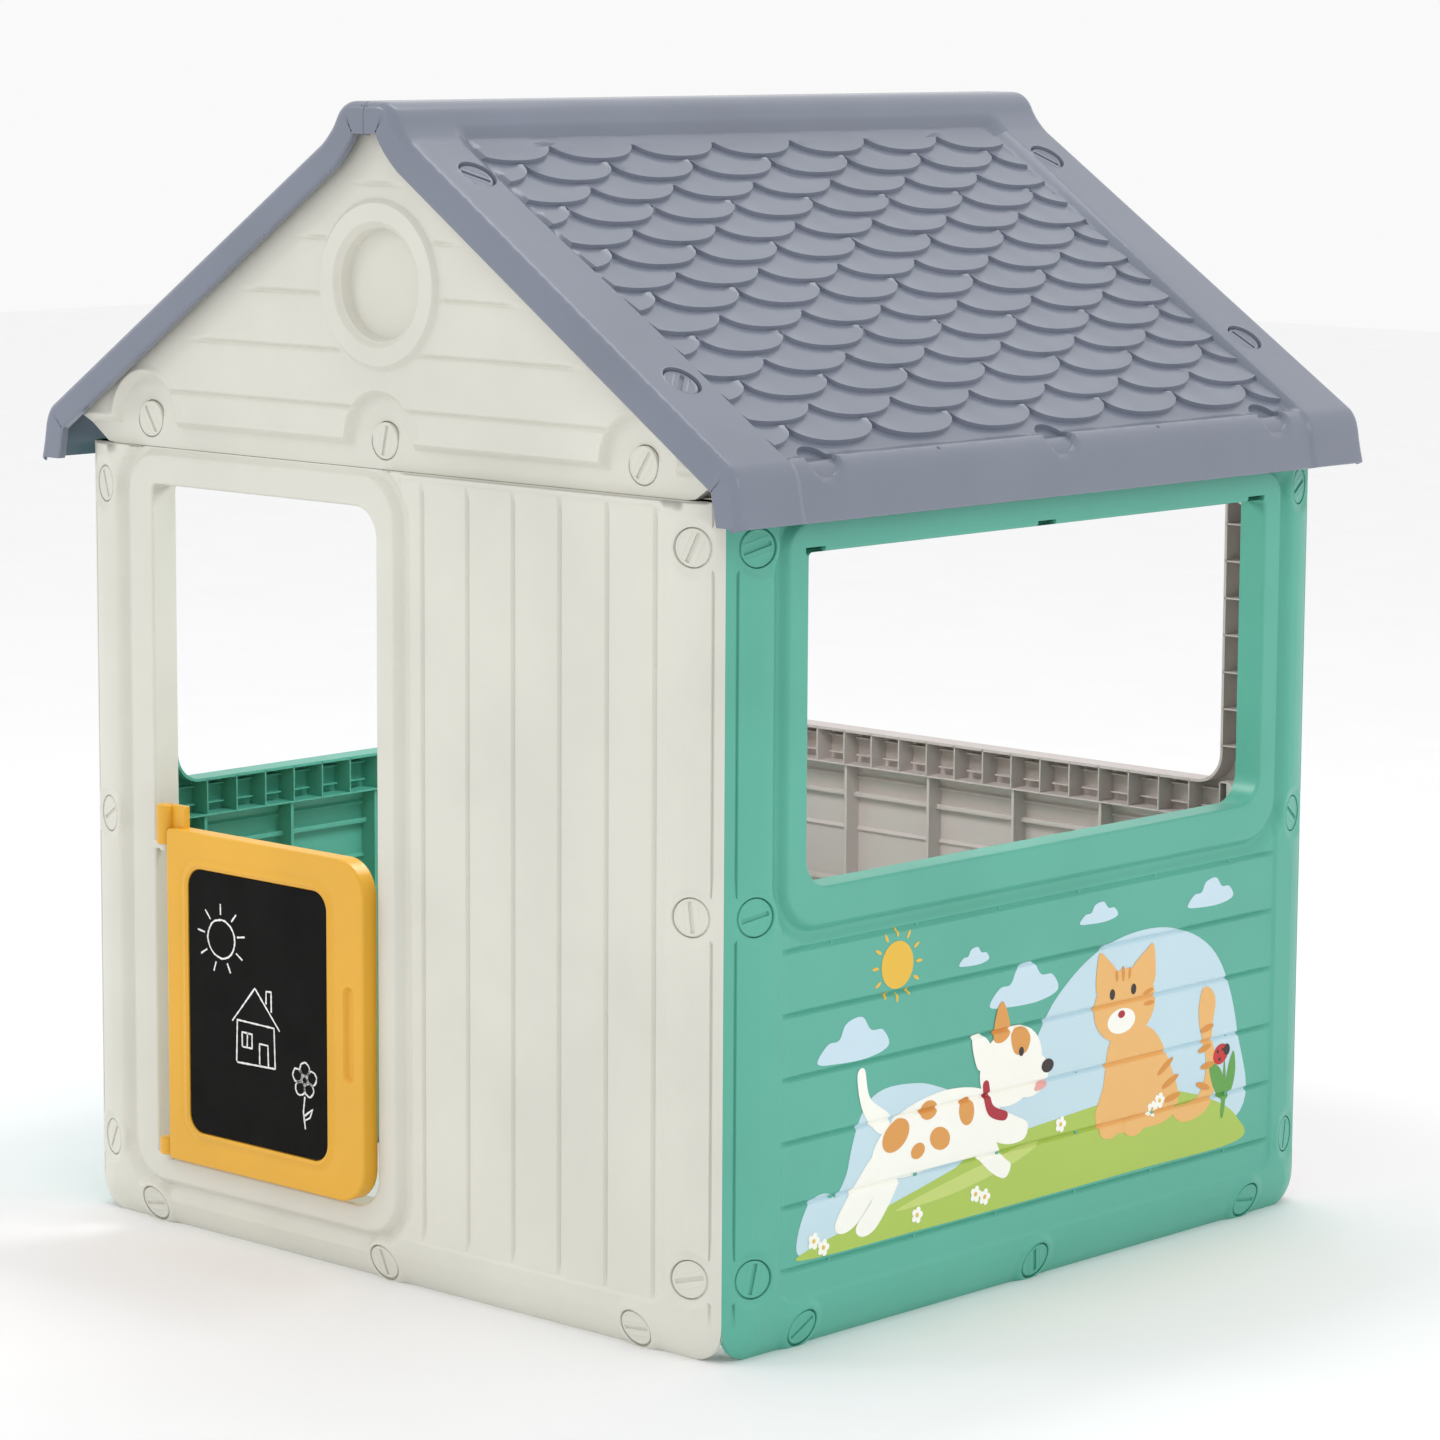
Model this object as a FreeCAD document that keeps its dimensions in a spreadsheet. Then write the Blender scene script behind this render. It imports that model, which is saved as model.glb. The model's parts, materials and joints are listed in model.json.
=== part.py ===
"""Plastic playhouse: four moulded walls, two gables, a roof in two halves and a hinged half door.

Frame: millimetres, +Z up, origin on the ground at the centre of the house, the door wall facing -Y.
Every sub-part is an object of one document and takes its sizes from the Dimensions sheet.
"""
import FreeCAD, Part
import Sketcher
import os

V = FreeCAD.Vector

# alias, value, what it sets
DIMENSIONS = [
    ("base_width", 1075, "outer faces of the side walls, apart"),
    ("base_depth", 1075, "outer faces of the front and rear walls, apart"),
    ("wall_height", 940, "top of the walls"),
    ("wall_depth", 36, "outer face of a wall to its open back"),
    ("skin", 4, "moulded wall thickness"),
    ("edge_radius", 90, "rolled edge of a wall"),
    ("edge_setback", 20, "how far a rolled edge falls back from the face"),
    ("rib", 3, "thickness of a stiffening rib"),
    ("rib_depth", 10, "stiffening rib behind the skin"),
    ("column_gap", 50, "ribs stop this far above the foot"),
    ("rib_margin", 2, "ribs stop this far short of the level rib or the top"),
    ("cut_past", 5, "how far a cutter runs past a face"),
    ("joint_gap", 0.5, "gap between two pieces that face each other"),
    ("doorway_inset", 147.5, "doorway's left jamb, in from the side of the house"),
    ("doorway_width", 385, "doorway, jamb to jamb"),
    ("doorway_sill", 86, "doorway sill above the ground"),
    ("doorway_header", 43, "doorway head below the top of the wall"),
    ("window_inset", 131.5, "window jamb, in from the side of the wall"),
    ("window_bottom", 513, "window sill above the ground"),
    ("window_header", 60, "window head below the top of the wall"),
    ("opening_radius", 36, "rounded corner of an opening"),
    ("small_radius", 6, "nearly square corner of an opening"),
    ("screw_head_radius", 21, "screw head"),
    ("screw_head_height", 5, "screw head"),
    ("screw_radius", 7, "screw shank"),
    ("screw_slot", 5, "width of the screw slot"),
    ("slot_share", 0.8, "half length of the screw slot, as a share of the head's radius"),
    ("seat_gap", 1, "gap round a screw head"),
    ("hole_gap", 0.3, "gap round a screw shank"),
    ("corner_screw_inset", 55.5, "edge screws, in from the side of the wall"),
    ("corner_screw_recess", 6.5, "edge screws, back from the face of the wall"),
    ("corner_screw_tilt", 18, "edge screws, turned towards the corner, degrees"),
    ("corner_screw_low", 92, "height of the lowest edge screws"),
    ("corner_screw_top", 49, "highest edge screws below the top of the wall"),
    ("corner_screw_length", 50, "edge screw"),
    ("tab_width", 66, "solid tab round an edge screw, from the mitre inwards"),
    ("tab_height", 52, "solid tab round an edge screw"),
    ("bracket_leg", 84, "leg of a corner block"),
    ("bracket_height", 50, "corner block"),
    ("foot_screw_inset", 134.5, "outer foot screws, in from the side of the wall"),
    ("foot_screw_height", 23, "foot screws above the ground"),
    ("foot_screw_recess", 5, "foot screws, back from the face of the wall"),
    ("foot_screw_tilt", 20, "foot screws, turned down, degrees"),
    ("foot_screw_length", 38, "foot screw"),
    ("nut_radius", 12, "nut"),
    ("nut_height", 10, "nut"),
    ("gable_screw_inset", 133.5, "outer gable screws, in from the side of the house"),
    ("gable_screw_height", 33, "gable screws above the top of the wall"),
    ("gable_screw_length", 34, "gable screw"),
    ("gable_inset", 2.5, "gable face, back from the wall face"),
    ("gable_depth", 70, "gable face to its open back"),
    ("gable_tip_inset", 18.5, "gable tips, in from the side of the house"),
    ("gable_foot_run", 50, "slanted foot of a gable tip, along the wall"),
    ("gable_foot_rise", 26, "slanted foot of a gable tip, upwards"),
    ("gable_crown_drop", 37, "flat crown of a gable below the roof's peak line"),
    ("boss_wall", 5, "boss round a screw seat, beyond the head"),
    ("tongue_width", 60, "tongue of a wall behind a gable screw"),
    ("tongue_height", 58, "tongue of a wall behind a gable screw"),
    ("tongue_thickness", 8, "tongue of a wall behind a gable screw"),
    ("tongue_gap", 1, "gap round a tongue where it passes through a gable"),
    ("roof_pitch", 33.9, "roof slope, degrees"),
    ("eave_rise", 28.6, "roof line over the wall top, at the eave"),
    ("eave_overhang", 37.5, "roof beyond the side walls"),
    ("gable_overhang", 19.5, "roof beyond the front and rear walls"),
    ("eave_drop", 22, "eave edge below the top of the walls"),
    ("fascia", 12, "thickness of the roof's end boards"),
    ("fascia_height", 47, "upright height of the roof's end boards"),
    ("ridge_flat_drop", 2, "flat top of the ridge below the peak line"),
    ("ridge_flat", 22, "flat top of the ridge, out from the middle"),
    ("ridge_shoulder_out", 48, "ridge shoulder, out from the middle"),
    ("ridge_shoulder_drop", 18, "ridge shoulder below the peak line"),
    ("ridge_half_width", 62, "half the width of the ridge roll"),
    ("ridge_radius", 30, "round of the ridge"),
    ("ridge_web", 28, "web along the middle of the roof, downwards"),
    ("eave_radius", 36, "round of the eave"),
    ("eave_turn_in", 23, "start of the eave's round, in from the edge"),
    ("eave_turn_out", 10, "end of the eave's round, in from the edge"),
    ("eave_turn_rise", 40, "end of the eave's round above the eave"),
    ("eave_lip", 15, "flat lip under the eave"),
    ("eave_chin_in", 32, "chin behind the lip, in from the edge"),
    ("eave_chin_rise", 8, "chin behind the lip above the eave"),
    ("eave_return_in", 59, "end of the chin's slope, in from the edge"),
    ("hollow_turn_in", 29, "hollow of the eave, upper corner in from the edge"),
    ("hollow_turn_out", 14, "hollow of the eave, outer corner in from the edge"),
    ("hollow_turn_rise", 38, "hollow of the eave, outer corner above the eave"),
    ("ridge_hollow_out", 44, "hollow of the ridge, shoulder out from the middle"),
    ("ridge_hollow_drop", 23, "hollow of the ridge, shoulder below the peak line"),
    ("rake_band", 107, "raised band along each end of the roof"),
    ("field_drop", 8, "shingle field below the raised bands"),
    ("field_top", 75, "shingle field starts this far from the ridge"),
    ("field_end", 38, "shingle field ends this far from the eave"),
    ("seat_depth", 12, "boss of a roof screw below the roof surface"),
    ("head_recess", 2, "roof screw head below the roof surface"),
    ("rake_screw_high", 120, "upper rake screws, out from the ridge"),
    ("rake_screw_low", 142, "lower rake screws, in from the eave edge"),
    ("rake_screw_inset", 60, "rake screws, in from the roof's ends"),
    ("rake_screw_length", 30, "rake screw"),
    ("eave_screw_inset", 30, "eave screws, in from the eave edge"),
    ("eave_screw_recess", 10.5, "eave screws below the roof line"),
    ("eave_screw_margin", 157, "outer eave screws, in from the roof's ends"),
    ("eave_screw_length", 72, "eave screw"),
    ("eave_boss_wall", 6, "long boss round an eave screw, beyond the shank"),
    ("eave_boss_depth", 30, "long boss round an eave screw, below its head"),
    ("eave_seat_wall", 3, "boss round an eave screw's head"),
    ("rake_boss_wall", 4, "boss round a rake screw's head"),
    ("ledge_inset", 5, "rest ledge, in from the middle of the side wall"),
    ("brace_start", 10, "slope ribs start this far past the ridge roll"),
    ("brace_depth", 20, "slope ribs below the roof line"),
    ("brace_offset", 30, "slope ribs, shifted towards the front"),
    ("hinge_inset", 26, "hinge axis, in from the door jamb"),
    ("hinge_out", 6.5, "hinge axis, out from the face of the wall"),
    ("pin_radius", 5, "hinge peg"),
    ("pin_gap", 0.08, "running gap round a hinge peg"),
    ("knuckle_radius", 11, "hinge knuckle"),
    ("top_knuckle_rise", 26, "upper knuckle above the top of the door"),
    ("top_knuckle_height", 47, "upper knuckle"),
    ("low_knuckle_height", 20, "lower knuckle"),
    ("peg_thickness", 7.5, "arm of a hinge peg"),
    ("peg_reach", 20, "arm of a hinge peg, back from the hinge axis"),
    ("peg_round", 2, "rounded end of the arm, beyond the pin"),
    ("top_pin_length", 32, "pin above the upper arm"),
    ("low_pin_length", 12, "pin above the lower arm"),
    ("web_run", 22, "web from a knuckle on to the leaf, past the knuckle"),
    ("web_back", 2, "web behind the hinge axis"),
    ("peg_play", 0.3, "gap between a knuckle and the arm under it"),
    ("door_gap", 5, "gap round the closed door"),
    ("door_height", 401, "door leaf"),
    ("door_thickness", 23, "door leaf"),
    ("door_proud", 17.5, "door front, out from the face of the wall"),
    ("door_radius", 42, "rounded free corners of the door"),
    ("board_margin_hinge", 40, "blackboard, in from the hinge edge of the door"),
    ("board_margin_free", 62, "blackboard, in from the free edge of the door"),
    ("board_margin_low", 41, "blackboard, up from the foot of the door"),
    ("board_margin_high", 43, "blackboard, down from the top of the door"),
    ("board_radius", 22, "rounded corner of the blackboard"),
    ("board_thickness", 3, "depth of the blackboard's seat"),
    ("board_sunk", 0.5, "blackboard behind the door front"),
    ("plank_start", 74, "first plank groove, from the doorway's right jamb"),
    ("plank_margin", 107.5, "last plank groove, in from the side of the house"),
    ("plank_low", 60, "foot of the plank grooves, and as far below the top"),
    ("clap_start", 92, "lowest clapboard groove"),
    ("clap_margin", 66, "highest clapboard groove below the window"),
    ("clap_past", 30, "clapboard grooves run past the window's jambs"),
    ("board_grooves", 5, "spaces between the first and the last groove"),
    ("groove_width", 5, "groove between boards"),
    ("groove_depth", 1.6, "groove between boards"),
    ("picture_front", 121.5, "picture film, in from the front of the house"),
    ("picture_rear", 157.5, "picture film, in from the rear of the house"),
    ("picture_bottom", 98, "foot of the picture film above the ground"),
    ("picture_margin", 131, "top of the picture film below the window"),
    ("picture_side", 120, "upright side of the picture film"),
    ("picture_radius", 200, "round of the sky"),
    ("sky_rear", 150, "top of the sky, from the rear end of the film"),
    ("sky_front", 330, "foot of the sky, from the rear end of the film"),
    ("sky_low", 150, "foot of the sky above the foot of the film"),
    ("hill_front", 60, "start of the hill, from the front end of the film"),
    ("hill_rise", 130, "start of the hill above the foot of the film"),
    ("film", 0.4, "thickness of the picture film"),
]

doc = FreeCAD.newDocument("Playhouse")
sheet = doc.addObject("Spreadsheet::Sheet", "Dimensions")
for row, (alias, value, purpose) in enumerate(DIMENSIONS, start=1):
    sheet.set(f"A{row}", alias)
    sheet.set(f"B{row}", str(value))
    sheet.set(f"C{row}", purpose)
    sheet.setAlias(f"B{row}", alias)
doc.recompute()
CELLS = {alias: f"Dimensions.{alias}" for alias, value, purpose in DIMENSIONS}


def cell(text):
    """An expression with its {aliases} pointed at the sheet."""
    return text.format_map(CELLS)


def number(text):
    """The present value of an expression."""
    return float(sheet.evalExpression(cell(text)))


def bind(thing, prop, text):
    thing.setExpression(prop, cell(text))


# ---------------------------------------------------------------- sketches and features

def origin_plane(body, role):
    return next(f for f in body.Origin.OriginFeatures if f.Role == role)


def profile(body, name, role, corners, arcs=(), lift="0"):
    """A closed outline. arcs maps the number of a corner to the radius of the arc that leaves it."""
    sketch = body.newObject("Sketcher::SketchObject", name)
    sketch.AttachmentSupport = [(origin_plane(body, role), "")]
    sketch.MapMode = "FlatFace"
    bind(sketch, "AttachmentOffset.Base.z", lift)
    arcs = dict(arcs)
    points = [V(number(x), number(y), 0) for x, y in corners]
    starts = []
    ends = []
    for i, here in enumerate(points):
        there = points[(i + 1) % len(points)]
        if i not in arcs:
            sketch.addGeometry(Part.LineSegment(here, there))
            starts.append((i, 1))
            ends.append((i, 2))
            continue
        radius = number(arcs[i])
        chord = there - here
        side = V(chord.y, -chord.x, 0).normalize()
        if radius < 0:
            side = -side
        half = chord.Length / 2
        sagitta = abs(radius) - (radius ** 2 - half ** 2) ** 0.5
        middle = (here + there) * 0.5 + side * sagitta
        sketch.addGeometry(Part.Arc(here, middle, there))
        forward = sketch.getPoint(i, 1).distanceToPoint(here) < 1e-6
        starts.append((i, 1 if forward else 2))
        ends.append((i, 2 if forward else 1))
    for i, (x, y) in enumerate(corners):
        sketch.addConstraint(Sketcher.Constraint("Coincident", *ends[i - 1], *starts[i]))
        for kind, text, value in (("DistanceX", x, points[i].x), ("DistanceY", y, points[i].y)):
            index = sketch.addConstraint(Sketcher.Constraint(kind, *starts[i], value))
            bind(sketch, f"Constraints[{index}]", text)
        if i in arcs:
            index = sketch.addConstraint(Sketcher.Constraint("Radius", i, abs(number(arcs[i]))))
            bind(sketch, f"Constraints[{index}]", f"abs({arcs[i]})")
    return sketch


def rounded(left, right, low, high, radii):
    """Corners and arcs of a rectangle with its four corners rounded, from the lower left one on."""
    a, b, c, d = radii
    corners = [
        (f"{left} + {a}", low), (f"{right} - {b}", low), (right, f"{low} + {b}"),
        (right, f"{high} - {c}"), (f"{right} - {c}", high), (f"{left} + {d}", high),
        (left, f"{high} - {d}"), (left, f"{low} + {a}"),
    ]
    arcs = {1: b, 3: c, 5: d, 7: a}
    return corners, arcs


def extrude(body, kind, sketch, length):
    feature = body.newObject(f"PartDesign::{kind}", f"{sketch.Name}_{kind}")
    feature.Profile = sketch
    feature.Refine = False
    bind(feature, "Length", length)
    sketch.Visibility = False
    return feature


def pad(body, name, role, outline, lift, length):
    corners, arcs = outline
    return extrude(body, "Pad", profile(body, name, role, corners, arcs, lift), length)


def pocket(body, name, role, outline, lift, length):
    corners, arcs = outline
    return extrude(body, "Pocket", profile(body, name, role, corners, arcs, lift), length)


def block(body, kind, name, low, size):
    """A box feature, Additive or Subtractive, from its lowest corner."""
    feature = body.newObject(f"PartDesign::{kind}Box", name)
    feature.Refine = False
    for prop, text in zip(("Length", "Width", "Height"), size):
        bind(feature, prop, text)
    for axis, text in zip("xyz", low):
        bind(feature, f"Placement.Base.{axis}", text)
    return feature


def rod(body, kind, name, spot, depth, radius, length):
    """A cylinder feature on a spot's line, from a depth below its face outwards."""
    feature = body.newObject(f"PartDesign::{kind}Cylinder", name)
    feature.Refine = False
    bind(feature, "Radius", radius)
    bind(feature, "Height", length)
    bind(feature, "Placement", spot.placement(depth))
    return feature


class Spot:
    """A place on a surface and the outward line through it."""

    def __init__(self, place, outward, turn):
        self.place = place
        self.outward = outward
        self.turn = turn

    def placement(self, depth="0"):
        base = "; ".join(f"({p}) - ({n}) * ({depth})" for p, n in zip(self.place, self.outward))
        return f"placement(vector({base}); rotation({self.turn}))"


def new_body(label):
    body = doc.addObject("PartDesign::Body", label)
    body.Label = label
    return body


# ---------------------------------------------------------------- screws and where they go

HALF_WIDTH = "({base_width} / 2)"
HALF_DEPTH = "({base_depth} / 2)"
CORNER_PITCH = "({wall_height} - {corner_screw_low} - {corner_screw_top}) / 2"
CORNER_LEVELS = [f"{{corner_screw_low}} + {i} * {CORNER_PITCH}" for i in range(3)]


def corner_spots(span, reach):
    """Edge screws of a wall, three to a side."""
    spots = []
    for side in (-1, 1):
        for level in CORNER_LEVELS:
            spots.append(Spot(
                (f"{side} * ({span} - {{corner_screw_inset}})", f"-({reach}) + {{corner_screw_recess}}",
                 level),
                (f"{side} * sin({{corner_screw_tilt}})", "-cos({corner_screw_tilt})", "0"),
                f"{side} * {{corner_screw_tilt}}; 0; 90"))
    return spots


def foot_spots(span, reach):
    """Foot screws of a wall."""
    return [Spot(
        (f"{i} * ({span} - {{foot_screw_inset}})", f"-({reach}) + {{foot_screw_recess}}",
         "{foot_screw_height}"),
        ("0", "-cos({foot_screw_tilt})", "-sin({foot_screw_tilt})"),
        "0; 0; 90 + {foot_screw_tilt}") for i in (-1, 0, 1)]


def gable_spots(reach):
    """Screws that hold a gable to the wall under it."""
    return [Spot(
        (f"{i} * ({HALF_WIDTH} - {{gable_screw_inset}})", f"-({reach}) + {{gable_inset}}",
         "{wall_height} + {gable_screw_height}"),
        ("0", "-1", "0"), "0; 0; 90") for i in (-1, 0, 1)]


ROOF_HALF = "({base_width} / 2 + {eave_overhang})"
ROOF_END = "({base_depth} / 2 + {gable_overhang})"
SLOPE = "tan({roof_pitch})"
PEAK = f"({{wall_height}} + {{eave_rise}} + {SLOPE} * {ROOF_HALF})"


def roof_line(x, drop="0"):
    """Height of the roof slope at x, less a drop measured square to the slope."""
    return f"({PEAK} - {SLOPE} * ({x}) - ({drop}) / cos({{roof_pitch}}))"


def roof_spot(x, y, recess):
    return Spot((x, y, roof_line(x, recess)), ("sin({roof_pitch})", "0", "cos({roof_pitch})"),
                "0; {roof_pitch}; 0")


def rake_spots():
    """Screws through the roof's end bands into the gables."""
    return [roof_spot(x, f"{side} * ({ROOF_END} - {{rake_screw_inset}})", "{head_recess}")
            for side in (-1, 1) for x in ("{rake_screw_high}", f"({ROOF_HALF} - {{rake_screw_low}})")]


def eave_spots():
    """Screws through the eave into the side wall's top."""
    out = f"({ROOF_HALF} - {{eave_screw_inset}})"
    return [roof_spot(out, f"{i} * ({ROOF_END} - {{eave_screw_margin}})", "{eave_screw_recess}")
            for i in (-1, 0, 1)]


HEAD_SEAT = "({screw_head_radius} + {seat_gap})"
SHANK_HOLE = "({screw_radius} + {hole_gap})"


def screw_seats(body, name, spots, length):
    """A round seat for each head and a hole for each shank."""
    for i, spot in enumerate(spots):
        rod(body, "Subtractive", f"{name}_seat_{i}", spot, "{screw_head_height}", HEAD_SEAT,
            "{cut_past} * 8")
        rod(body, "Subtractive", f"{name}_hole_{i}", spot, length, SHANK_HOLE, length)


def screw_master(name, length):
    """A slotted plastic screw: flat outer face at the origin, shank along -Z."""
    body = new_body(name)
    shank = body.newObject("PartDesign::AdditiveCylinder", f"{name}_shank")
    bind(shank, "Radius", "{screw_radius}")
    bind(shank, "Height", length)
    bind(shank, "Placement.Base.z", f"-({length})")
    head = body.newObject("PartDesign::AdditiveCylinder", f"{name}_head")
    bind(head, "Radius", "{screw_head_radius}")
    bind(head, "Height", "{screw_head_height}")
    bind(head, "Placement.Base.z", "-{screw_head_height}")
    block(body, "Subtractive", f"{name}_slot",
          ("-{screw_head_radius} * {slot_share}", "-{screw_slot} / 2", "-{screw_head_height} / 2"),
          ("{screw_head_radius} * {slot_share} * 2", "{screw_slot}", "{screw_head_height}"))
    return body


def nut_master():
    """A round plastic nut: its outer face at the origin, its body along -Z."""
    body = new_body("nut_master")
    ring = body.newObject("PartDesign::AdditiveCylinder", "nut_body")
    bind(ring, "Radius", "{nut_radius}")
    bind(ring, "Height", "{nut_height}")
    bind(ring, "Placement.Base.z", "-{nut_height}")
    bore = body.newObject("PartDesign::SubtractiveCylinder", "nut_bore")
    bind(bore, "Radius", SHANK_HOLE)
    bind(bore, "Height", "{nut_height} * 2")
    bind(bore, "Placement.Base.z", "-{nut_height} * 1.5")
    return body


def twin(label, source):
    """A second copy of a moulding, turned half round the house's middle."""
    link = doc.addObject("App::Link", label)
    link.Label = label
    link.LinkedObject = source
    link.Placement = FreeCAD.Placement(V(), FreeCAD.Rotation(V(0, 0, 1), 180)) * source.Placement
    return link


def group(label, items, yaw=0):
    """Copies of masters at their spots, as one sub-part that turns about the house's middle."""
    links = []
    for i, (master, spot, depth) in enumerate(items):
        link = doc.addObject("App::Link", f"{label}_{i}")
        link.LinkedObject = master
        bind(link, "Placement", spot.placement(depth))
        links.append(link)
    compound = doc.addObject("Part::Compound", label)
    compound.Label = label
    compound.Links = links
    compound.Placement = FreeCAD.Placement(V(), FreeCAD.Rotation(V(0, 0, 1), yaw))
    return compound


# ---------------------------------------------------------------- walls

def wall(label, span, reach, opening):
    """A moulded tray that stands along X and faces -Y, then turns about the house's middle."""
    body = new_body(label)
    run = "sqrt(2 * {edge_radius} * {edge_setback} - pow({edge_setback}; 2))"
    face = f"-({reach})"
    edge = f"({span} - {{edge_setback}})"
    back = f"(-({reach}) + {{wall_depth}})"
    side = f"({span} - {{wall_depth}})"
    mitre = "{skin} * sqrt(2)"

    plan = [(f"-{edge}", f"{face} + {{edge_setback}}"), (f"-({span} - {run})", face),
            (f"{span} - {run}", face), (edge, f"{face} + {{edge_setback}}"), (side, back),
            (f"-{side}", back)]
    pad(body, f"{label}_plan", "XY_Plane", (plan, {0: "{edge_radius}", 2: "{edge_radius}"}), "0",
        "{wall_height}")

    out = f"{face} - {{cut_past}}"
    foot = [(out, "-{cut_past}"), (f"{face} + {{edge_setback}}", "-{cut_past}"),
            (f"{face} + {{edge_setback}}", "0"), (face, run), (out, run)]
    pocket(body, f"{label}_foot_roll", "YZ_Plane", (foot, {2: "-{edge_radius}"}), f"{span} + 1",
           f"2 * ({span} + 1)")

    # open back, between the solid columns of the two edges
    inner = f"({side} - {{tab_width}} + {{edge_setback}})"
    block(body, "Subtractive", f"{label}_back", (f"-{inner}", f"{face} + {{skin}}", run),
          (f"2 * {inner}", "{wall_depth}", f"{{wall_height}} - {{skin}} - {run}"))
    block(body, "Subtractive", f"{label}_foot_back",
          (f"-{inner}", f"{face} + {{edge_setback}} + {{skin}}", "{skin}"),
          (f"2 * {inner}", "{wall_depth}", f"{run} - {{skin}} + 1"))

    # the columns are hollow between the solid tabs of the edge screws
    bounds = ["{skin}"]
    for level in CORNER_LEVELS:
        bounds += [f"({level} - {{tab_height}} / 2)", f"({level} + {{tab_height}} / 2)"]
    bounds.append("({wall_height} - {skin})")
    for hand, word in ((-1, "left"), (1, "right")):
        hollow = [(f"{hand} * ({inner} + {{rib}})", f"{back} + 1"),
                  (f"{hand} * ({inner} + {{rib}})", f"{face} + {{edge_setback}} + {{skin}}"),
                  (f"{hand} * ({edge} - {mitre} - {{skin}})", f"{face} + {{edge_setback}} + {{skin}}"),
                  (f"{hand} * ({side} - {mitre})", f"{back} + 1")]
        for i in range(0, len(bounds), 2):
            pocket(body, f"{label}_{word}_hollow_{i}", "XY_Plane", (hollow, {}), bounds[i + 1],
                   f"{bounds[i + 1]} - {bounds[i]}")

    left, right, low, high, radii = opening
    jamb = [f"{radius} + {{skin}}" for radius in radii]
    pad(body, f"{label}_frame", "XZ_Plane",
        rounded(f"({left} - {{skin}})", f"({right} + {{skin}})", f"({low} - {{skin}})",
                f"({high} + {{skin}})", [f"({radius})" for radius in jamb]),
        f"({reach} - {{wall_depth}})", "{wall_depth}")
    pocket(body, f"{label}_opening", "XZ_Plane", rounded(left, right, low, high, radii), f"({reach} + 1)",
           "{wall_depth} + 2")
    return body, face


def stiffeners(body, label, face, places):
    """Upright or level ribs behind the skin of a wall."""
    for i, (low, size_x, size_z, x) in enumerate(places):
        block(body, "Additive", f"{label}_rib_{i}", (x, f"{face} + {{skin}} / 2", low),
              (size_x, "{skin} / 2 + {rib_depth}", size_z))


def wall_fixings(body, label, span, reach, tongues, roof_screws):
    """Tongues behind the gable, then every screw seat and hole."""
    if tongues:
        for i, spot in enumerate(gable_spots(reach)):
            block(body, "Additive", f"{label}_tongue_{i}",
                  (f"{spot.place[0]} - {{tongue_width}} / 2", f"{spot.place[1]} + {TONGUE_BACK}",
                   "{wall_height} - {skin}"),
                  ("{tongue_width}", "{tongue_thickness}", "{tongue_height} + {skin}"))
            rod(body, "Subtractive", f"{label}_tongue_hole_{i}", spot, "{gable_screw_length}", SHANK_HOLE,
                "{gable_screw_length}")
    screw_seats(body, f"{label}_corner", corner_spots(span, reach), "{corner_screw_length} + 5")
    screw_seats(body, f"{label}_foot", foot_spots(span, reach), "{foot_screw_length}")
    for i, spot in enumerate(roof_screws):
        rod(body, "Subtractive", f"{label}_roof_hole_{i}", spot, "{eave_screw_length}", SHANK_HOLE,
            "{eave_screw_length}")


def grooves(body, label, upright, face, first, last, low, length):
    """Shallow grooves between boards, upright or level."""
    for i in range(int(number("{board_grooves}")) + 1):
        place = f"{first} + {i} * ({last} - {first}) / {{board_grooves}}"
        if upright:
            corner = (place, f"{face} - 1", low)
            size = ("{groove_width}", "{groove_depth} + 1", length)
        else:
            corner = (low, f"{face} - 1", place)
            size = (length, "{groove_depth} + 1", "{groove_width}")
        block(body, "Subtractive", f"{label}_groove_{i}", corner, size)


TONGUE_BACK = "({seat_depth} + {joint_gap})"
JAMB_LEFT = f"(-{HALF_WIDTH} + {{doorway_inset}})"
JAMB_RIGHT = f"({JAMB_LEFT} + {{doorway_width}})"
DOORWAY = (JAMB_LEFT, JAMB_RIGHT, "{doorway_sill}", "({wall_height} - {doorway_header})",
           ["{small_radius}", "{opening_radius}", "{opening_radius}", "{small_radius}"])


def front_wall():
    body, face = wall("front_wall", HALF_WIDTH, HALF_DEPTH, DOORWAY)
    first = f"({JAMB_RIGHT} + {{plank_start}})"
    last = f"({HALF_WIDTH} - {{plank_margin}})"
    height = "({wall_height} - {column_gap} - {rib_margin})"
    stiffeners(body, "front_wall", face, [
        ("{column_gap}", "{rib}", height, f"({first} + {share} * ({last} - {first}))")
        for share in (0.3, 0.7)])
    grooves(body, "front_wall", True, face, first, last, "{plank_low}", "({wall_height} - {plank_low})")
    wall_fixings(body, "front_wall", HALF_WIDTH, HALF_DEPTH, True, [])
    return body


def window_wall(label, span, reach, yaw, tongues, roof_screws):
    """The rear wall or a side wall: the same tray with a wide window and level boards below it."""
    half = f"({span} - {{window_inset}})"
    body, face = wall(label, span, reach, (
        f"(-{half})", half, "{window_bottom}", "({wall_height} - {window_header})",
        ["{opening_radius}", "{opening_radius}", "{small_radius}", "{small_radius}"]))
    stiffeners(body, label, face, [
        ("{column_gap}", "{rib}", "({window_bottom} - {column_gap} - {rib_margin})", f"{i} * {half} / 2")
        for i in (-1, 0, 1)] + [("({window_bottom} - {column_gap})", f"2 * {half}", "{rib}", f"-{half}")])
    grooves(body, label, False, face, "{clap_start}", "({window_bottom} - {clap_margin})",
            f"(-{half} - {{clap_past}})", f"(2 * ({half} + {{clap_past}}))")
    wall_fixings(body, label, span, reach, tongues, roof_screws)
    body.Placement = FreeCAD.Placement(V(), FreeCAD.Rotation(V(0, 0, 1), yaw))
    return body


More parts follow.
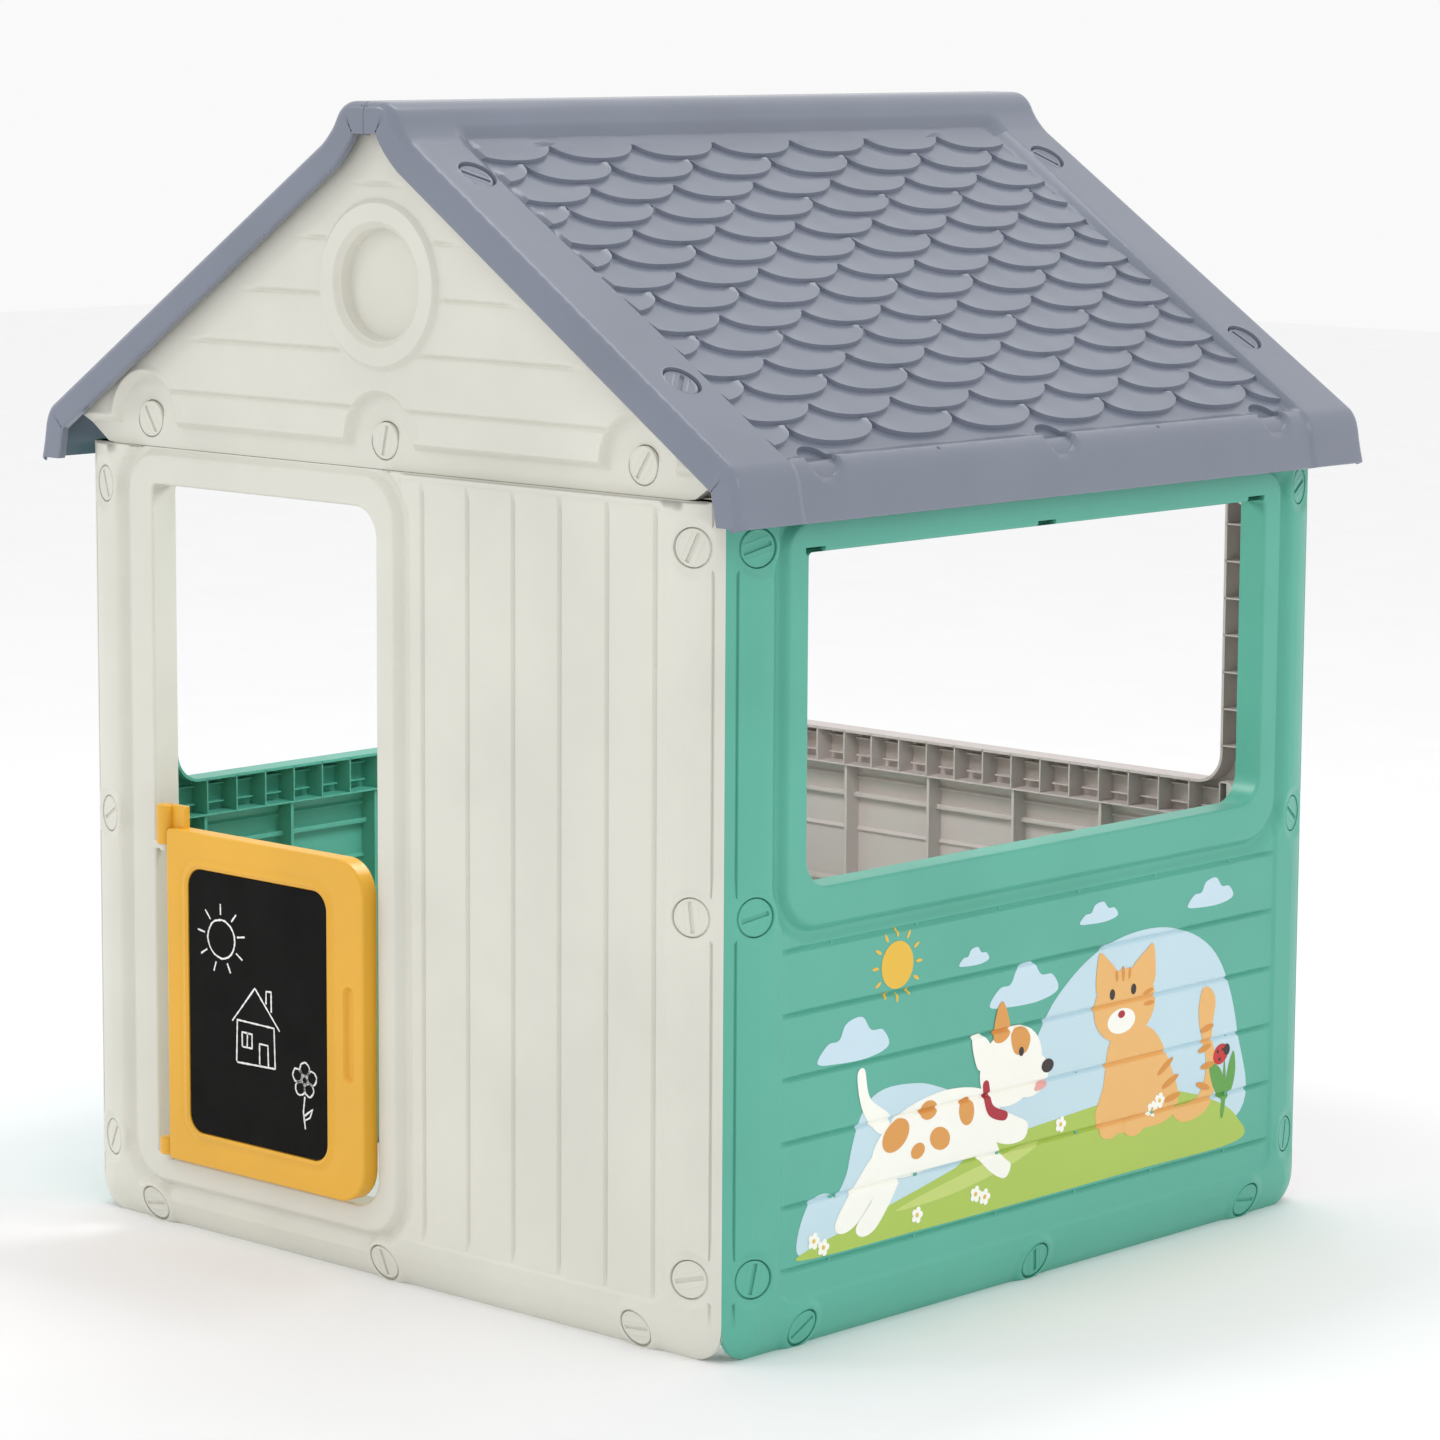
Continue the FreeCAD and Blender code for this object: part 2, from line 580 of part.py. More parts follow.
def side_wall_roof_spots():
    """The eave screws as the side wall sees them, with the wall facing -Y."""
    return [Spot((spot.place[1], f"-({spot.place[0]})", spot.place[2]),
                 ("0", "-sin({roof_pitch})", "cos({roof_pitch})"), "0; 0; {roof_pitch}")
            for spot in eave_spots()]


# ---------------------------------------------------------------- gables and roof

def gable(label):
    """A triangular tray that sits on a wall and carries the roof's ends."""
    body = new_body(label)
    seat = "({seat_depth} + {joint_gap})"
    low = "({wall_height} + {joint_gap})"
    crown = f"({PEAK} - {{gable_crown_drop}})"
    crown_half = f"(({{gable_crown_drop}} - {seat} / cos({{roof_pitch}})) / {SLOPE})"
    tip = f"({HALF_WIDTH} - {{gable_tip_inset}})"
    foot = f"({tip} - {{gable_foot_run}})"
    rise = f"({low} + {{gable_foot_rise}})"
    shoulder = roof_line(tip, seat)
    outline = [(f"-{foot}", low), (foot, low), (tip, rise), (tip, shoulder), (crown_half, crown),
               (f"-{crown_half}", crown), (f"-{tip}", shoulder), (f"-{tip}", rise)]
    out = f"({HALF_DEPTH} - {{gable_inset}})"
    pad(body, f"{label}_outline", "XZ_Plane", (outline, {}), f"{out} - {{gable_depth}}", "{gable_depth}")
    edge = f"({tip} - {{skin}})"
    inside = roof_line(edge, f"{seat} + {{skin}}")
    top_half = f"({crown_half} - {{skin}} / 2)"
    hollow = [(f"-{foot}", f"{low} + {{skin}}"), (foot, f"{low} + {{skin}}"),
              (edge, f"{rise} + {{skin}}"), (edge, inside),
              (top_half, roof_line(top_half, f"{seat} + {{skin}}")),
              (f"-{top_half}", roof_line(top_half, f"{seat} + {{skin}}")),
              (f"-{edge}", inside), (f"-{edge}", f"{rise} + {{skin}}")]
    pocket(body, f"{label}_hollow", "XZ_Plane", (hollow, {}), f"{out} - {{skin}}", "{gable_depth}")
    spots = gable_spots(HALF_DEPTH)
    for i, spot in enumerate(spots):
        rod(body, "Additive", f"{label}_boss_{i}", spot, "{seat_depth}",
            "({screw_head_radius} + {boss_wall})", "{seat_depth}")
        block(body, "Subtractive", f"{label}_tongue_slot_{i}",
              (f"{spot.place[0]} - {{tongue_width}} / 2 - {{tongue_gap}}",
               f"{spot.place[1]} + {{seat_depth}}", f"{low} - {{cut_past}}"),
              ("{tongue_width} + 2 * {tongue_gap}", "{joint_gap} + {tongue_thickness} + {tongue_gap}",
               "{skin} + 2 * {cut_past}"))
    screw_seats(body, f"{label}_wall", spots, "{gable_screw_length}")
    for i, spot in enumerate(rake_spots()):
        if i < 2:
            mirrored = Spot((f"-({spot.place[0]})", spot.place[1], spot.place[2]),
                            ("-sin({roof_pitch})", "0", "cos({roof_pitch})"), "0; -{roof_pitch}; 0")
            for j, each in enumerate((spot, mirrored)):
                rod(body, "Subtractive", f"{label}_rake_hole_{i}_{j}", each, "{rake_screw_length}",
                    SHANK_HOLE, "{rake_screw_length}")
    return body


def roof_half(label):
    """One slope of the roof: a shell with a ridge roll, raised end bands and a turned-down eave."""
    body = new_body(label)
    gap = "{joint_gap} / 2"
    crown = f"({PEAK} - {{ridge_flat_drop}})"
    eave = "({wall_height} - {eave_drop})"
    end = f"({ROOF_HALF})"
    under = f"({{fascia_height}} * cos({{roof_pitch}}))"
    turn = f"({end} - {{eave_turn_in}})"
    back = f"({end} - {{eave_return_in}})"
    outline = [(gap, crown), ("{ridge_flat}", crown),
               ("{ridge_shoulder_out}", f"{PEAK} - {{ridge_shoulder_drop}}"),
               ("{ridge_half_width}", roof_line("{ridge_half_width}")), (turn, roof_line(turn)),
               (f"{end} - {{eave_turn_out}}", f"{eave} + {{eave_turn_rise}}"), (end, eave),
               (f"{end} - {{eave_lip}}", eave),
               (f"{end} - {{eave_chin_in}}", f"{eave} + {{eave_chin_rise}}"),
               (back, roof_line(back, under)), (gap, roof_line("0", under))]
    pad(body, f"{label}_outline", "XZ_Plane", (outline, {1: "-{ridge_radius}", 4: "-{eave_radius}"}),
        f"-{ROOF_END}", f"2 * {ROOF_END}")

    # sunk field for the shingles
    field_half = f"({ROOF_END} - {{rake_band}})"
    field_low = f"({end} - {{field_end}})"
    field = [("{field_top}", roof_line("{field_top}", "{field_drop}")),
             (field_low, roof_line(field_low, "{field_drop}")),
             (field_low, f"{roof_line(field_low)} + {{cut_past}}"),
             ("{field_top}", f"{roof_line('{field_top}')} + {{cut_past}}")]
    pocket(body, f"{label}_field", "XZ_Plane", (field, {}), field_half, f"2 * {field_half}")

    def hollow(name, drop, low, high):
        """The open underside between two places along Y, its ceiling a drop below the slope."""
        ceiling = f"({{skin}} + {drop})"
        web = f"({crown} - {{skin}} - {{ridge_web}})"
        turn_in = f"({end} - {{hollow_turn_in}})"
        corners = [("-{cut_past}", web), (f"{gap} + {{skin}}", web),
                   (f"{gap} + {{skin}}", f"{crown} - {{skin}}"),
                   ("{ridge_flat}", f"{crown} - {{skin}}"),
                   ("{ridge_hollow_out}", f"{PEAK} - {{ridge_hollow_drop}}"),
                   ("{ridge_half_width}", roof_line("{ridge_half_width}", ceiling)),
                   (turn_in, roof_line(turn_in, ceiling)),
                   (f"{end} - {{hollow_turn_out}}", f"{eave} + {{hollow_turn_rise}}"),
                   (f"{end} - {{skin}}", f"{eave} - {{cut_past}}"),
                   ("-{cut_past}", f"{eave} - {{cut_past}}")]
        pocket(body, name, "XZ_Plane", (corners, {}), f"-({low})", f"{high} - ({low})")

    gutter = f"({field_half} + {{skin}})"
    tip = f"({ROOF_END} - {{fascia}})"
    hollow(f"{label}_front_hollow", "0", f"-{tip}", f"-{gutter}")
    middle = f"({field_half} - {{skin}})"
    hollow(f"{label}_middle_hollow", "{field_drop}", f"-{middle}", middle)
    hollow(f"{label}_rear_hollow", "0", gutter, tip)

    # rest ledge over the side wall and slope ribs
    ledge = f"({HALF_WIDTH} - {{wall_depth}} / 2 - {{ledge_inset}})"
    ledge_top = roof_line(f"({ledge} + {{rib}})", "{field_drop} + {skin} / 2")
    block(body, "Additive", f"{label}_ledge",
          (ledge, f"-{middle}", "{wall_height} + {joint_gap}"),
          ("{rib}", f"2 * {middle}", f"{ledge_top} - {{wall_height}} - {{joint_gap}}"))
    start = "({ridge_half_width} + {brace_start})"
    stop = f"({ledge} + {{rib}} / 2)"
    for i in (-1, 0, 1):
        brace = [(x, roof_line(x, f"{{field_drop}} + {drop}"))
                 for x, drop in ((start, "{skin} / 2"), (stop, "{skin} / 2"), (stop, "{brace_depth}"),
                                 (start, "{brace_depth}"))]
        pad(body, f"{label}_brace_{i + 1}", "XZ_Plane", (brace, {}),
            f"{i} * {field_half} / 2 - {{brace_offset}}", "{rib}")
    block(body, "Subtractive", f"{label}_wall_notch",
          (f"{HALF_WIDTH} - {{wall_depth}} - {{joint_gap}}", f"-{tip}", f"{eave} - {{cut_past}}"),
          ("{wall_depth} + 2 * {joint_gap}", f"2 * {tip}", "{eave_drop} + {cut_past} + {joint_gap}"))

    rakes = rake_spots()
    eaves = eave_spots()
    for i, spot in enumerate(rakes):
        rod(body, "Additive", f"{label}_rake_boss_{i}", spot, "{seat_depth} - {head_recess}",
            "({screw_head_radius} + {rake_boss_wall})", "{seat_depth} - {head_recess} - {skin} / 4")
    for i, spot in enumerate(eaves):
        rod(body, "Additive", f"{label}_eave_boss_{i}", spot, "{eave_boss_depth}",
            "({screw_radius} + {eave_boss_wall})", "{eave_boss_depth} - {screw_head_height} / 2")
        rod(body, "Additive", f"{label}_eave_seat_boss_{i}", spot, "{seat_depth}",
            "({screw_head_radius} + {eave_seat_wall})", "{seat_depth}")
    screw_seats(body, f"{label}_rake", rakes, "{rake_screw_length}")
    screw_seats(body, f"{label}_eave", eaves, "{eave_screw_length}")
    return body


# ---------------------------------------------------------------- corner blocks

def corner_block_master():
    """A three-cornered block in the inside corner of two walls, its corner at the origin."""
    body = new_body("corner_block_master")
    plan = [("-{bracket_leg}", "0"), ("0", "0"), ("0", "{bracket_leg}")]
    pad(body, "corner_block_plan", "XY_Plane", (plan, {}), "-{bracket_height} / 2", "{bracket_height}")
    inset = "({wall_depth} - {corner_screw_inset})"
    recess = "({wall_depth} - {corner_screw_recess})"
    tilt = "{corner_screw_tilt}"
    front = Spot((inset, f"-{recess}", "0"), (f"sin({tilt})", f"-cos({tilt})", "0"), f"{tilt}; 0; 90")
    side = Spot((recess, f"-{inset}", "0"), (f"cos({tilt})", f"-sin({tilt})", "0"), f"90 - {tilt}; 0; 90")
    for name, spot in (("front", front), ("side", side)):
        rod(body, "Subtractive", f"corner_block_{name}_hole", spot, "{corner_screw_length}", SHANK_HOLE,
            "{corner_screw_length}")
    return body


def corner_blocks(master):
    """Three blocks up each corner of the house."""
    corners = [("front_right", 1, -1, 0), ("rear_right", 1, 1, 90), ("rear_left", -1, 1, 180),
               ("front_left", -1, -1, 270)]
    made = []
    inner_x = f"({HALF_WIDTH} - {{wall_depth}} - {{joint_gap}})"
    inner_y = f"({HALF_DEPTH} - {{wall_depth}} - {{joint_gap}})"
    for name, x_side, y_side, yaw in corners:
        items = [(master, Spot((f"{x_side} * {inner_x}", f"{y_side} * {inner_y}", level), ("0", "0", "0"),
                               f"{yaw}; 0; 0"), "0") for level in CORNER_LEVELS]
        made.append(group(f"{name}_corner_blocks", items))
    return made


# ---------------------------------------------------------------- door

AXIS_X = f"({JAMB_LEFT} + {{hinge_inset}})"
AXIS_Y = f"(-{HALF_DEPTH} - {{hinge_out}})"
DOOR_LEFT = f"({AXIS_X} + {{knuckle_radius}} + {{seat_gap}})"
DOOR_RIGHT = f"({JAMB_RIGHT} - {{door_gap}})"
DOOR_LOW = "({doorway_sill} + {door_gap})"
DOOR_HIGH = f"({DOOR_LOW} + {{door_height}})"
DOOR_FRONT = f"({HALF_DEPTH} + {{door_proud}})"
TOP_KNUCKLE_LOW = f"({DOOR_HIGH} + {{top_knuckle_rise}} - {{top_knuckle_height}})"
LOW_KNUCKLE_LOW = "({doorway_sill} + {peg_thickness} + {peg_play})"


def upright(x, y, z):
    """A vertical line through a place."""
    return Spot((x, y, z), ("0", "0", "1"), "0; 0; 0")


def door_panel():
    """The door leaf: a shallow tray with a sunk seat for the blackboard and two hinge knuckles."""
    body = new_body("door_panel")
    radii = ["{small_radius}", "{door_radius}", "{door_radius}", "{small_radius}"]
    pad(body, "door_leaf", "XZ_Plane", rounded(DOOR_LEFT, DOOR_RIGHT, DOOR_LOW, DOOR_HIGH, radii),
        f"{DOOR_FRONT} - {{door_thickness}}", "{door_thickness}")
    rim = "({skin} * 2)"
    inner_radii = ["{small_radius}"] + ["({door_radius} - {skin})"] * 2 + ["{small_radius}"]
    pocket(body, "door_hollow", "XZ_Plane",
           rounded(f"({DOOR_LEFT} + {rim})", f"({DOOR_RIGHT} - {rim})", f"({DOOR_LOW} + {rim})",
                   f"({DOOR_HIGH} - {rim})", inner_radii),
           f"{DOOR_FRONT} - {{board_thickness}} - {{skin}}", "{door_thickness}")
    pocket(body, "door_board_seat", "XZ_Plane", board_outline("{joint_gap}"), f"{DOOR_FRONT} + 1",
           "{board_thickness} + 1")
    for name, low, height in (("top", TOP_KNUCKLE_LOW, "{top_knuckle_height}"),
                              ("low", LOW_KNUCKLE_LOW, "{low_knuckle_height}")):
        rod(body, "Additive", f"door_{name}_knuckle", upright(AXIS_X, AXIS_Y, low), "0", "{knuckle_radius}",
            height)
        block(body, "Additive", f"door_{name}_web", (AXIS_X, f"{AXIS_Y} + {{web_back}}", low),
              ("{knuckle_radius} + {web_run}", "{skin} * 2", height))
        rod(body, "Subtractive", f"door_{name}_bore", upright(AXIS_X, AXIS_Y, low), "1",
            "{pin_radius} + {pin_gap}", f"{height} - {{skin}} + 1")
    return body


def board_outline(gap):
    radius = f"({{board_radius}} + {gap})"
    return rounded(f"({DOOR_LEFT} + {{board_margin_hinge}} - {gap})",
                   f"({DOOR_RIGHT} - {{board_margin_free}} + {gap})",
                   f"({DOOR_LOW} + {{board_margin_low}} - {gap})",
                   f"({DOOR_HIGH} - {{board_margin_high}} + {gap})", [radius] * 4)


def door_blackboard():
    """The blackboard sheet in the door."""
    body = new_body("door_blackboard")
    pad(body, "blackboard_sheet", "XZ_Plane", board_outline("0"), f"{DOOR_FRONT} - {{board_thickness}}",
        "{board_thickness} - {board_sunk}")
    return body


def hinge_peg(label, knuckle_low, height, clear):
    """A peg on the jamb: an arm under the knuckle, from clear of the corner, and an upright pin."""
    body = new_body(label)
    arm_top = f"({knuckle_low} - {{peg_play}})"
    arm_low = f"({arm_top} - {{peg_thickness}})"
    block(body, "Additive", f"{label}_arm", (f"{JAMB_LEFT} + {clear}", AXIS_Y, arm_low),
          (f"{{hinge_inset}} - {clear}", "{peg_reach}", "{peg_thickness}"))
    rod(body, "Additive", f"{label}_round", upright(AXIS_X, AXIS_Y, arm_low), "0",
        "{pin_radius} + {peg_round}", "{peg_thickness}")
    rod(body, "Additive", f"{label}_pin", upright(AXIS_X, AXIS_Y, arm_low), "0", "{pin_radius}",
        f"{{peg_thickness}} + {height}")
    return body


# ---------------------------------------------------------------- picture film

def picture():
    """A thin film on the right wall with a hill along its foot and a rounded sky above."""
    body = new_body("right_wall_picture")
    left = f"(-{HALF_DEPTH} + {{picture_front}})"
    right = f"({HALF_DEPTH} - {{picture_rear}})"
    low = "{picture_bottom}"
    outline = [(left, low), (right, low), (right, f"{low} + {{picture_side}}"),
               (f"{right} - {{sky_rear}}", "{window_bottom} - {picture_margin}"),
               (f"{right} - {{sky_front}}", f"{low} + {{sky_low}}"),
               (f"{left} + {{hill_front}}", f"{low} + {{hill_rise}}")]
    pad(body, "picture_outline", "XZ_Plane", (outline, {2: "{picture_radius}"}), HALF_WIDTH, "{film}")
    body.Placement = FreeCAD.Placement(V(), FreeCAD.Rotation(V(0, 0, 1), 90))
    return body


# ---------------------------------------------------------------- the house

corner_screw = screw_master("corner_screw_master", "{corner_screw_length}")
foot_screw = screw_master("foot_screw_master", "{foot_screw_length}")
gable_screw = screw_master("gable_screw_master", "{gable_screw_length}")
rake_screw = screw_master("rake_screw_master", "{rake_screw_length}")
eave_screw = screw_master("eave_screw_master", "{eave_screw_length}")
nut = nut_master()
corner_block = corner_block_master()

right_wall = window_wall("right_wall", HALF_DEPTH, HALF_WIDTH, 90, False, side_wall_roof_spots())
front_gable = gable("front_gable")
roof_right = roof_half("roof_right")
parts = [
    front_wall(),
    window_wall("rear_wall", HALF_WIDTH, HALF_DEPTH, 180, True, []),
    right_wall,
    twin("left_wall", right_wall),
    front_gable,
    twin("rear_gable", front_gable),
    roof_right,
    twin("roof_left", roof_right),
    door_panel(),
    door_blackboard(),
    hinge_peg("top_hinge_peg", TOP_KNUCKLE_LOW, "{top_pin_length}", "0"),
    hinge_peg("low_hinge_peg", LOW_KNUCKLE_LOW, "{low_pin_length}", "{small_radius}"),
    picture(),
]
parts += corner_blocks(corner_block)

WALLS = [("front", HALF_WIDTH, HALF_DEPTH, 0), ("right", HALF_DEPTH, HALF_WIDTH, 90),
         ("rear", HALF_WIDTH, HALF_DEPTH, 180), ("left", HALF_DEPTH, HALF_WIDTH, -90)]
FOOT_NUT = "({foot_screw_length} - {nut_height} - 1)"
for name, span, reach, yaw in WALLS:
    feet = foot_spots(span, reach)
    items = [(corner_screw, spot, "0") for spot in corner_spots(span, reach)]
    parts.append(group(f"{name}_wall_screws", items + [(foot_screw, spot, "0") for spot in feet], yaw))
    parts.append(group(f"{name}_foot_nuts", [(nut, spot, FOOT_NUT) for spot in feet], yaw))
GABLE_NUT = f"({TONGUE_BACK} + {{tongue_thickness}} + {{joint_gap}})"
for name, yaw in (("front", 0), ("rear", 180)):
    spots = gable_spots(HALF_DEPTH)
    parts.append(group(f"{name}_gable_screws", [(gable_screw, spot, "0") for spot in spots], yaw))
    parts.append(group(f"{name}_gable_nuts", [(nut, spot, GABLE_NUT) for spot in spots], yaw))
RAKE_NUT = "({seat_depth} - {head_recess} + {skin} + 2 * {joint_gap})"
EAVE_NUT = "({eave_screw_length} - {nut_height} - 2)"
for name, yaw in (("right", 0), ("left", 180)):
    parts.append(group(f"roof_{name}_screws", [(rake_screw, spot, "0") for spot in rake_spots()]
                       + [(eave_screw, spot, "0") for spot in eave_spots()], yaw))
    parts.append(group(f"roof_{name}_nuts", [(nut, spot, RAKE_NUT) for spot in rake_spots()]
                       + [(nut, spot, EAVE_NUT) for spot in eave_spots()], yaw))

doc.recompute()
failed = [thing.Label for thing in doc.Objects if {"Invalid", "Error"} & set(thing.State)]
if failed:
    raise SystemExit(f"failed: {failed}")
shapes = {part.Label: Part.getShape(part) for part in parts}
for label, shape in shapes.items():
    if shape.isNull() or not shape.isValid() or not shape.Solids:
        raise SystemExit(f"bad shape: {label}")

os.makedirs("parts", exist_ok=True)
for label, shape in shapes.items():
    shape.exportStep(f"parts/{label}.step")
    print(label, len(shape.Solids), round(shape.Volume / 1e3, 1))
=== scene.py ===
import bisect
import json
import math
import random

import bmesh
import bpy
from mathutils import Matrix, Vector
from mathutils.geometry import delaunay_2d_cdt


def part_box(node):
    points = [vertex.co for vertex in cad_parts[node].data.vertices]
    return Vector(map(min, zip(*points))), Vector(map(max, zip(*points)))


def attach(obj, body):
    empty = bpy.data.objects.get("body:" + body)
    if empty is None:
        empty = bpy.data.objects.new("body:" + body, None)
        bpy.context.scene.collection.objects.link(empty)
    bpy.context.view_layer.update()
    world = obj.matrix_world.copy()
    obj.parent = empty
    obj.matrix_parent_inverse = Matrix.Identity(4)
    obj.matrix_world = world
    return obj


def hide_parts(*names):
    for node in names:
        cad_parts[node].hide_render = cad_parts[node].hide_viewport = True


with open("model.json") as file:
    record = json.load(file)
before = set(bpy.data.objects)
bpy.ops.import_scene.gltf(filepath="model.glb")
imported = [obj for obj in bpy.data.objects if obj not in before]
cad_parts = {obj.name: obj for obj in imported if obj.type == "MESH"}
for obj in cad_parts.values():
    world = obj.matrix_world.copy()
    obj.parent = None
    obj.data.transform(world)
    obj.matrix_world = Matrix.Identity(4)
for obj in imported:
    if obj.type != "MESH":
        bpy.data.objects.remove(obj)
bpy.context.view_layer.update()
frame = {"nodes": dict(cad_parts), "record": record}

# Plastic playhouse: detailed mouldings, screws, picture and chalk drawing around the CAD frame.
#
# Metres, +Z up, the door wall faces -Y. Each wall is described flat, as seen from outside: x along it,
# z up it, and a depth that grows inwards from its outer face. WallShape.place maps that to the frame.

MM = 0.001
REACH = -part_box("front_wall")[0][1]
WALL_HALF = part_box("front_wall")[1][0]
WALL_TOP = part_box("right_wall")[1][2]
WALL_DEPTH = 36 * MM
SKIN = 4 * MM
SHEET_STEP = 25 * MM
GABLE_FACE = -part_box("front_gable")[0][1]
GABLE_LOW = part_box("front_gable")[0][2]
ROOF_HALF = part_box("roof_right")[1][0]
ROOF_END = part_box("roof_right")[1][1]
ROOF_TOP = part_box("roof_right")[1][2]
ROOF_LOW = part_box("roof_right")[0][2]
PITCH = math.radians(33.9)
PEAK = ROOF_TOP + 2 * MM
HEAD_RADIUS = 21 * MM
HEAD_GAP = 22.2 * MM
GAP_RINGS = (22.0, 22.4)
DOOR_AXIS = Vector(frame["record"]["behaviour"]["joints"][0]["pos_m"])


# ---------------------------------------------------------------- small shape helpers

def smooth(t):
    t = min(max(t, 0.0), 1.0)
    return t * t * (3 - 2 * t)


def mix(a, b, t):
    return a + (b - a) * t


def bump(t):
    """One at 0, nothing from 1 on, round at both."""
    return 0.5 + 0.5 * math.cos(math.pi * min(abs(t), 1.0))


def fillet(distance, radius):
    """Depth of a rounded edge at a distance in from it."""
    if distance >= radius:
        return 0.0
    return radius - math.sqrt(max(radius ** 2 - (radius - max(distance, 0.0)) ** 2, 0.0))


class Rounded:
    """A rectangle with its own radius at each corner: low left, low right, high right, high left."""

    def __init__(self, left, right, low, high, radii):
        self.left, self.right, self.low, self.high = left, right, low, high
        self.radii = radii if hasattr(radii, "__len__") else [radii] * 4

    def distance(self, x, z):
        """Below nothing inside, above nothing outside."""
        cx, cz = (self.left + self.right) / 2, (self.low + self.high) / 2
        index = (2 if x > cx else 3) if z > cz else (1 if x > cx else 0)
        radius = self.radii[index]
        dx = abs(x - cx) - (self.right - self.left) / 2 + radius
        dz = abs(z - cz) - (self.high - self.low) / 2 + radius
        return math.hypot(max(dx, 0), max(dz, 0)) + min(max(dx, dz), 0) - radius

    def loop(self, grow=0.0, step=4 * MM):
        """The outline grown by a distance, as closed points."""
        corners = [(self.left, self.low, 1, 1, 180), (self.right, self.low, -1, 1, 270),
                   (self.right, self.high, -1, -1, 0), (self.left, self.high, 1, -1, 90)]
        points = []
        for (x, z, sx, sz, start), radius in zip(corners, self.radii):
            r = max(radius + grow, 0.2 * MM)
            cx = x + sx * radius
            cz = z + sz * radius
            arc = math.radians(90) * (radius + 10 * MM)
            count = max(4, int(arc / step))
            for i in range(count + 1):
                a = math.radians(start + 90 * i / count)
                points.append((cx + r * math.cos(a), cz + r * math.sin(a)))
        return divide(points + points[:1], SHEET_STEP)[:-1]


def plate(left, right, low, high, *radii):
    """A rounded rectangle given in millimetres."""
    return Rounded(left * MM, right * MM, low * MM, high * MM, [r * MM for r in radii])


def divide(points, step):
    """A line of points with its long runs cut up."""
    out = []
    for (x0, z0), (x1, z1) in zip(points, points[1:]):
        count = max(1, math.ceil(math.hypot(x1 - x0, z1 - z0) / step))
        out += [(mix(x0, x1, i / count), mix(z0, z1, i / count)) for i in range(count)]
    return out + [points[-1]]


def turns(count, start=0.0):
    """Angles of equal steps round a circle."""
    return [2 * math.pi * i / count + start for i in range(count)]


def circle(cx, cz, radius, count=48):
    return [(cx + radius * math.cos(a), cz + radius * math.sin(a)) for a in turns(count)]


def upright_box(cx, low, half, high):
    """A small upright rectangle as a loop."""
    corners = [(cx - half, low), (cx + half, low), (cx + half, low + high), (cx - half, low + high)]
    return divide(corners + corners[:1], 8 * MM)[:-1]


def triangulate(loops, lines, bounds, spacing, keep, loose=None):
    """A flat net of triangles that keeps every loop and line, filled in with points where loose says so."""
    loose = loose or keep
    points = []
    edges = []
    for chain, closed in [(c, True) for c in loops] + [(c, False) for c in lines]:
        first = len(points)
        points += chain
        edges += [(i, i + 1) for i in range(first, len(points) - 1)]
        if closed:
            edges.append((len(points) - 1, first))
    near = spacing * 0.45
    taken = {(round(x / near), round(z / near)) for x, z in points}
    x0, x1, z0, z1 = bounds
    rows = int((z1 - z0) / spacing)
    columns = int((x1 - x0) / spacing)
    for j in range(rows + 1):
        for i in range(columns + 1):
            x = x0 + (i + 0.5 * (j % 2)) * spacing
            z = z0 + j * spacing
            if (round(x / near), round(z / near)) not in taken and loose(x, z):
                points.append((x, z))
    result = delaunay_2d_cdt([Vector(p) for p in points], edges, [], 0, 1e-6)
    verts = [(v.x, v.y) for v in result[0]]
    faces = []
    for face in result[2]:
        cx = sum(verts[i][0] for i in face) / len(face)
        cz = sum(verts[i][1] for i in face) / len(face)
        if keep(cx, cz):
            faces.append(tuple(face))
    return verts, faces


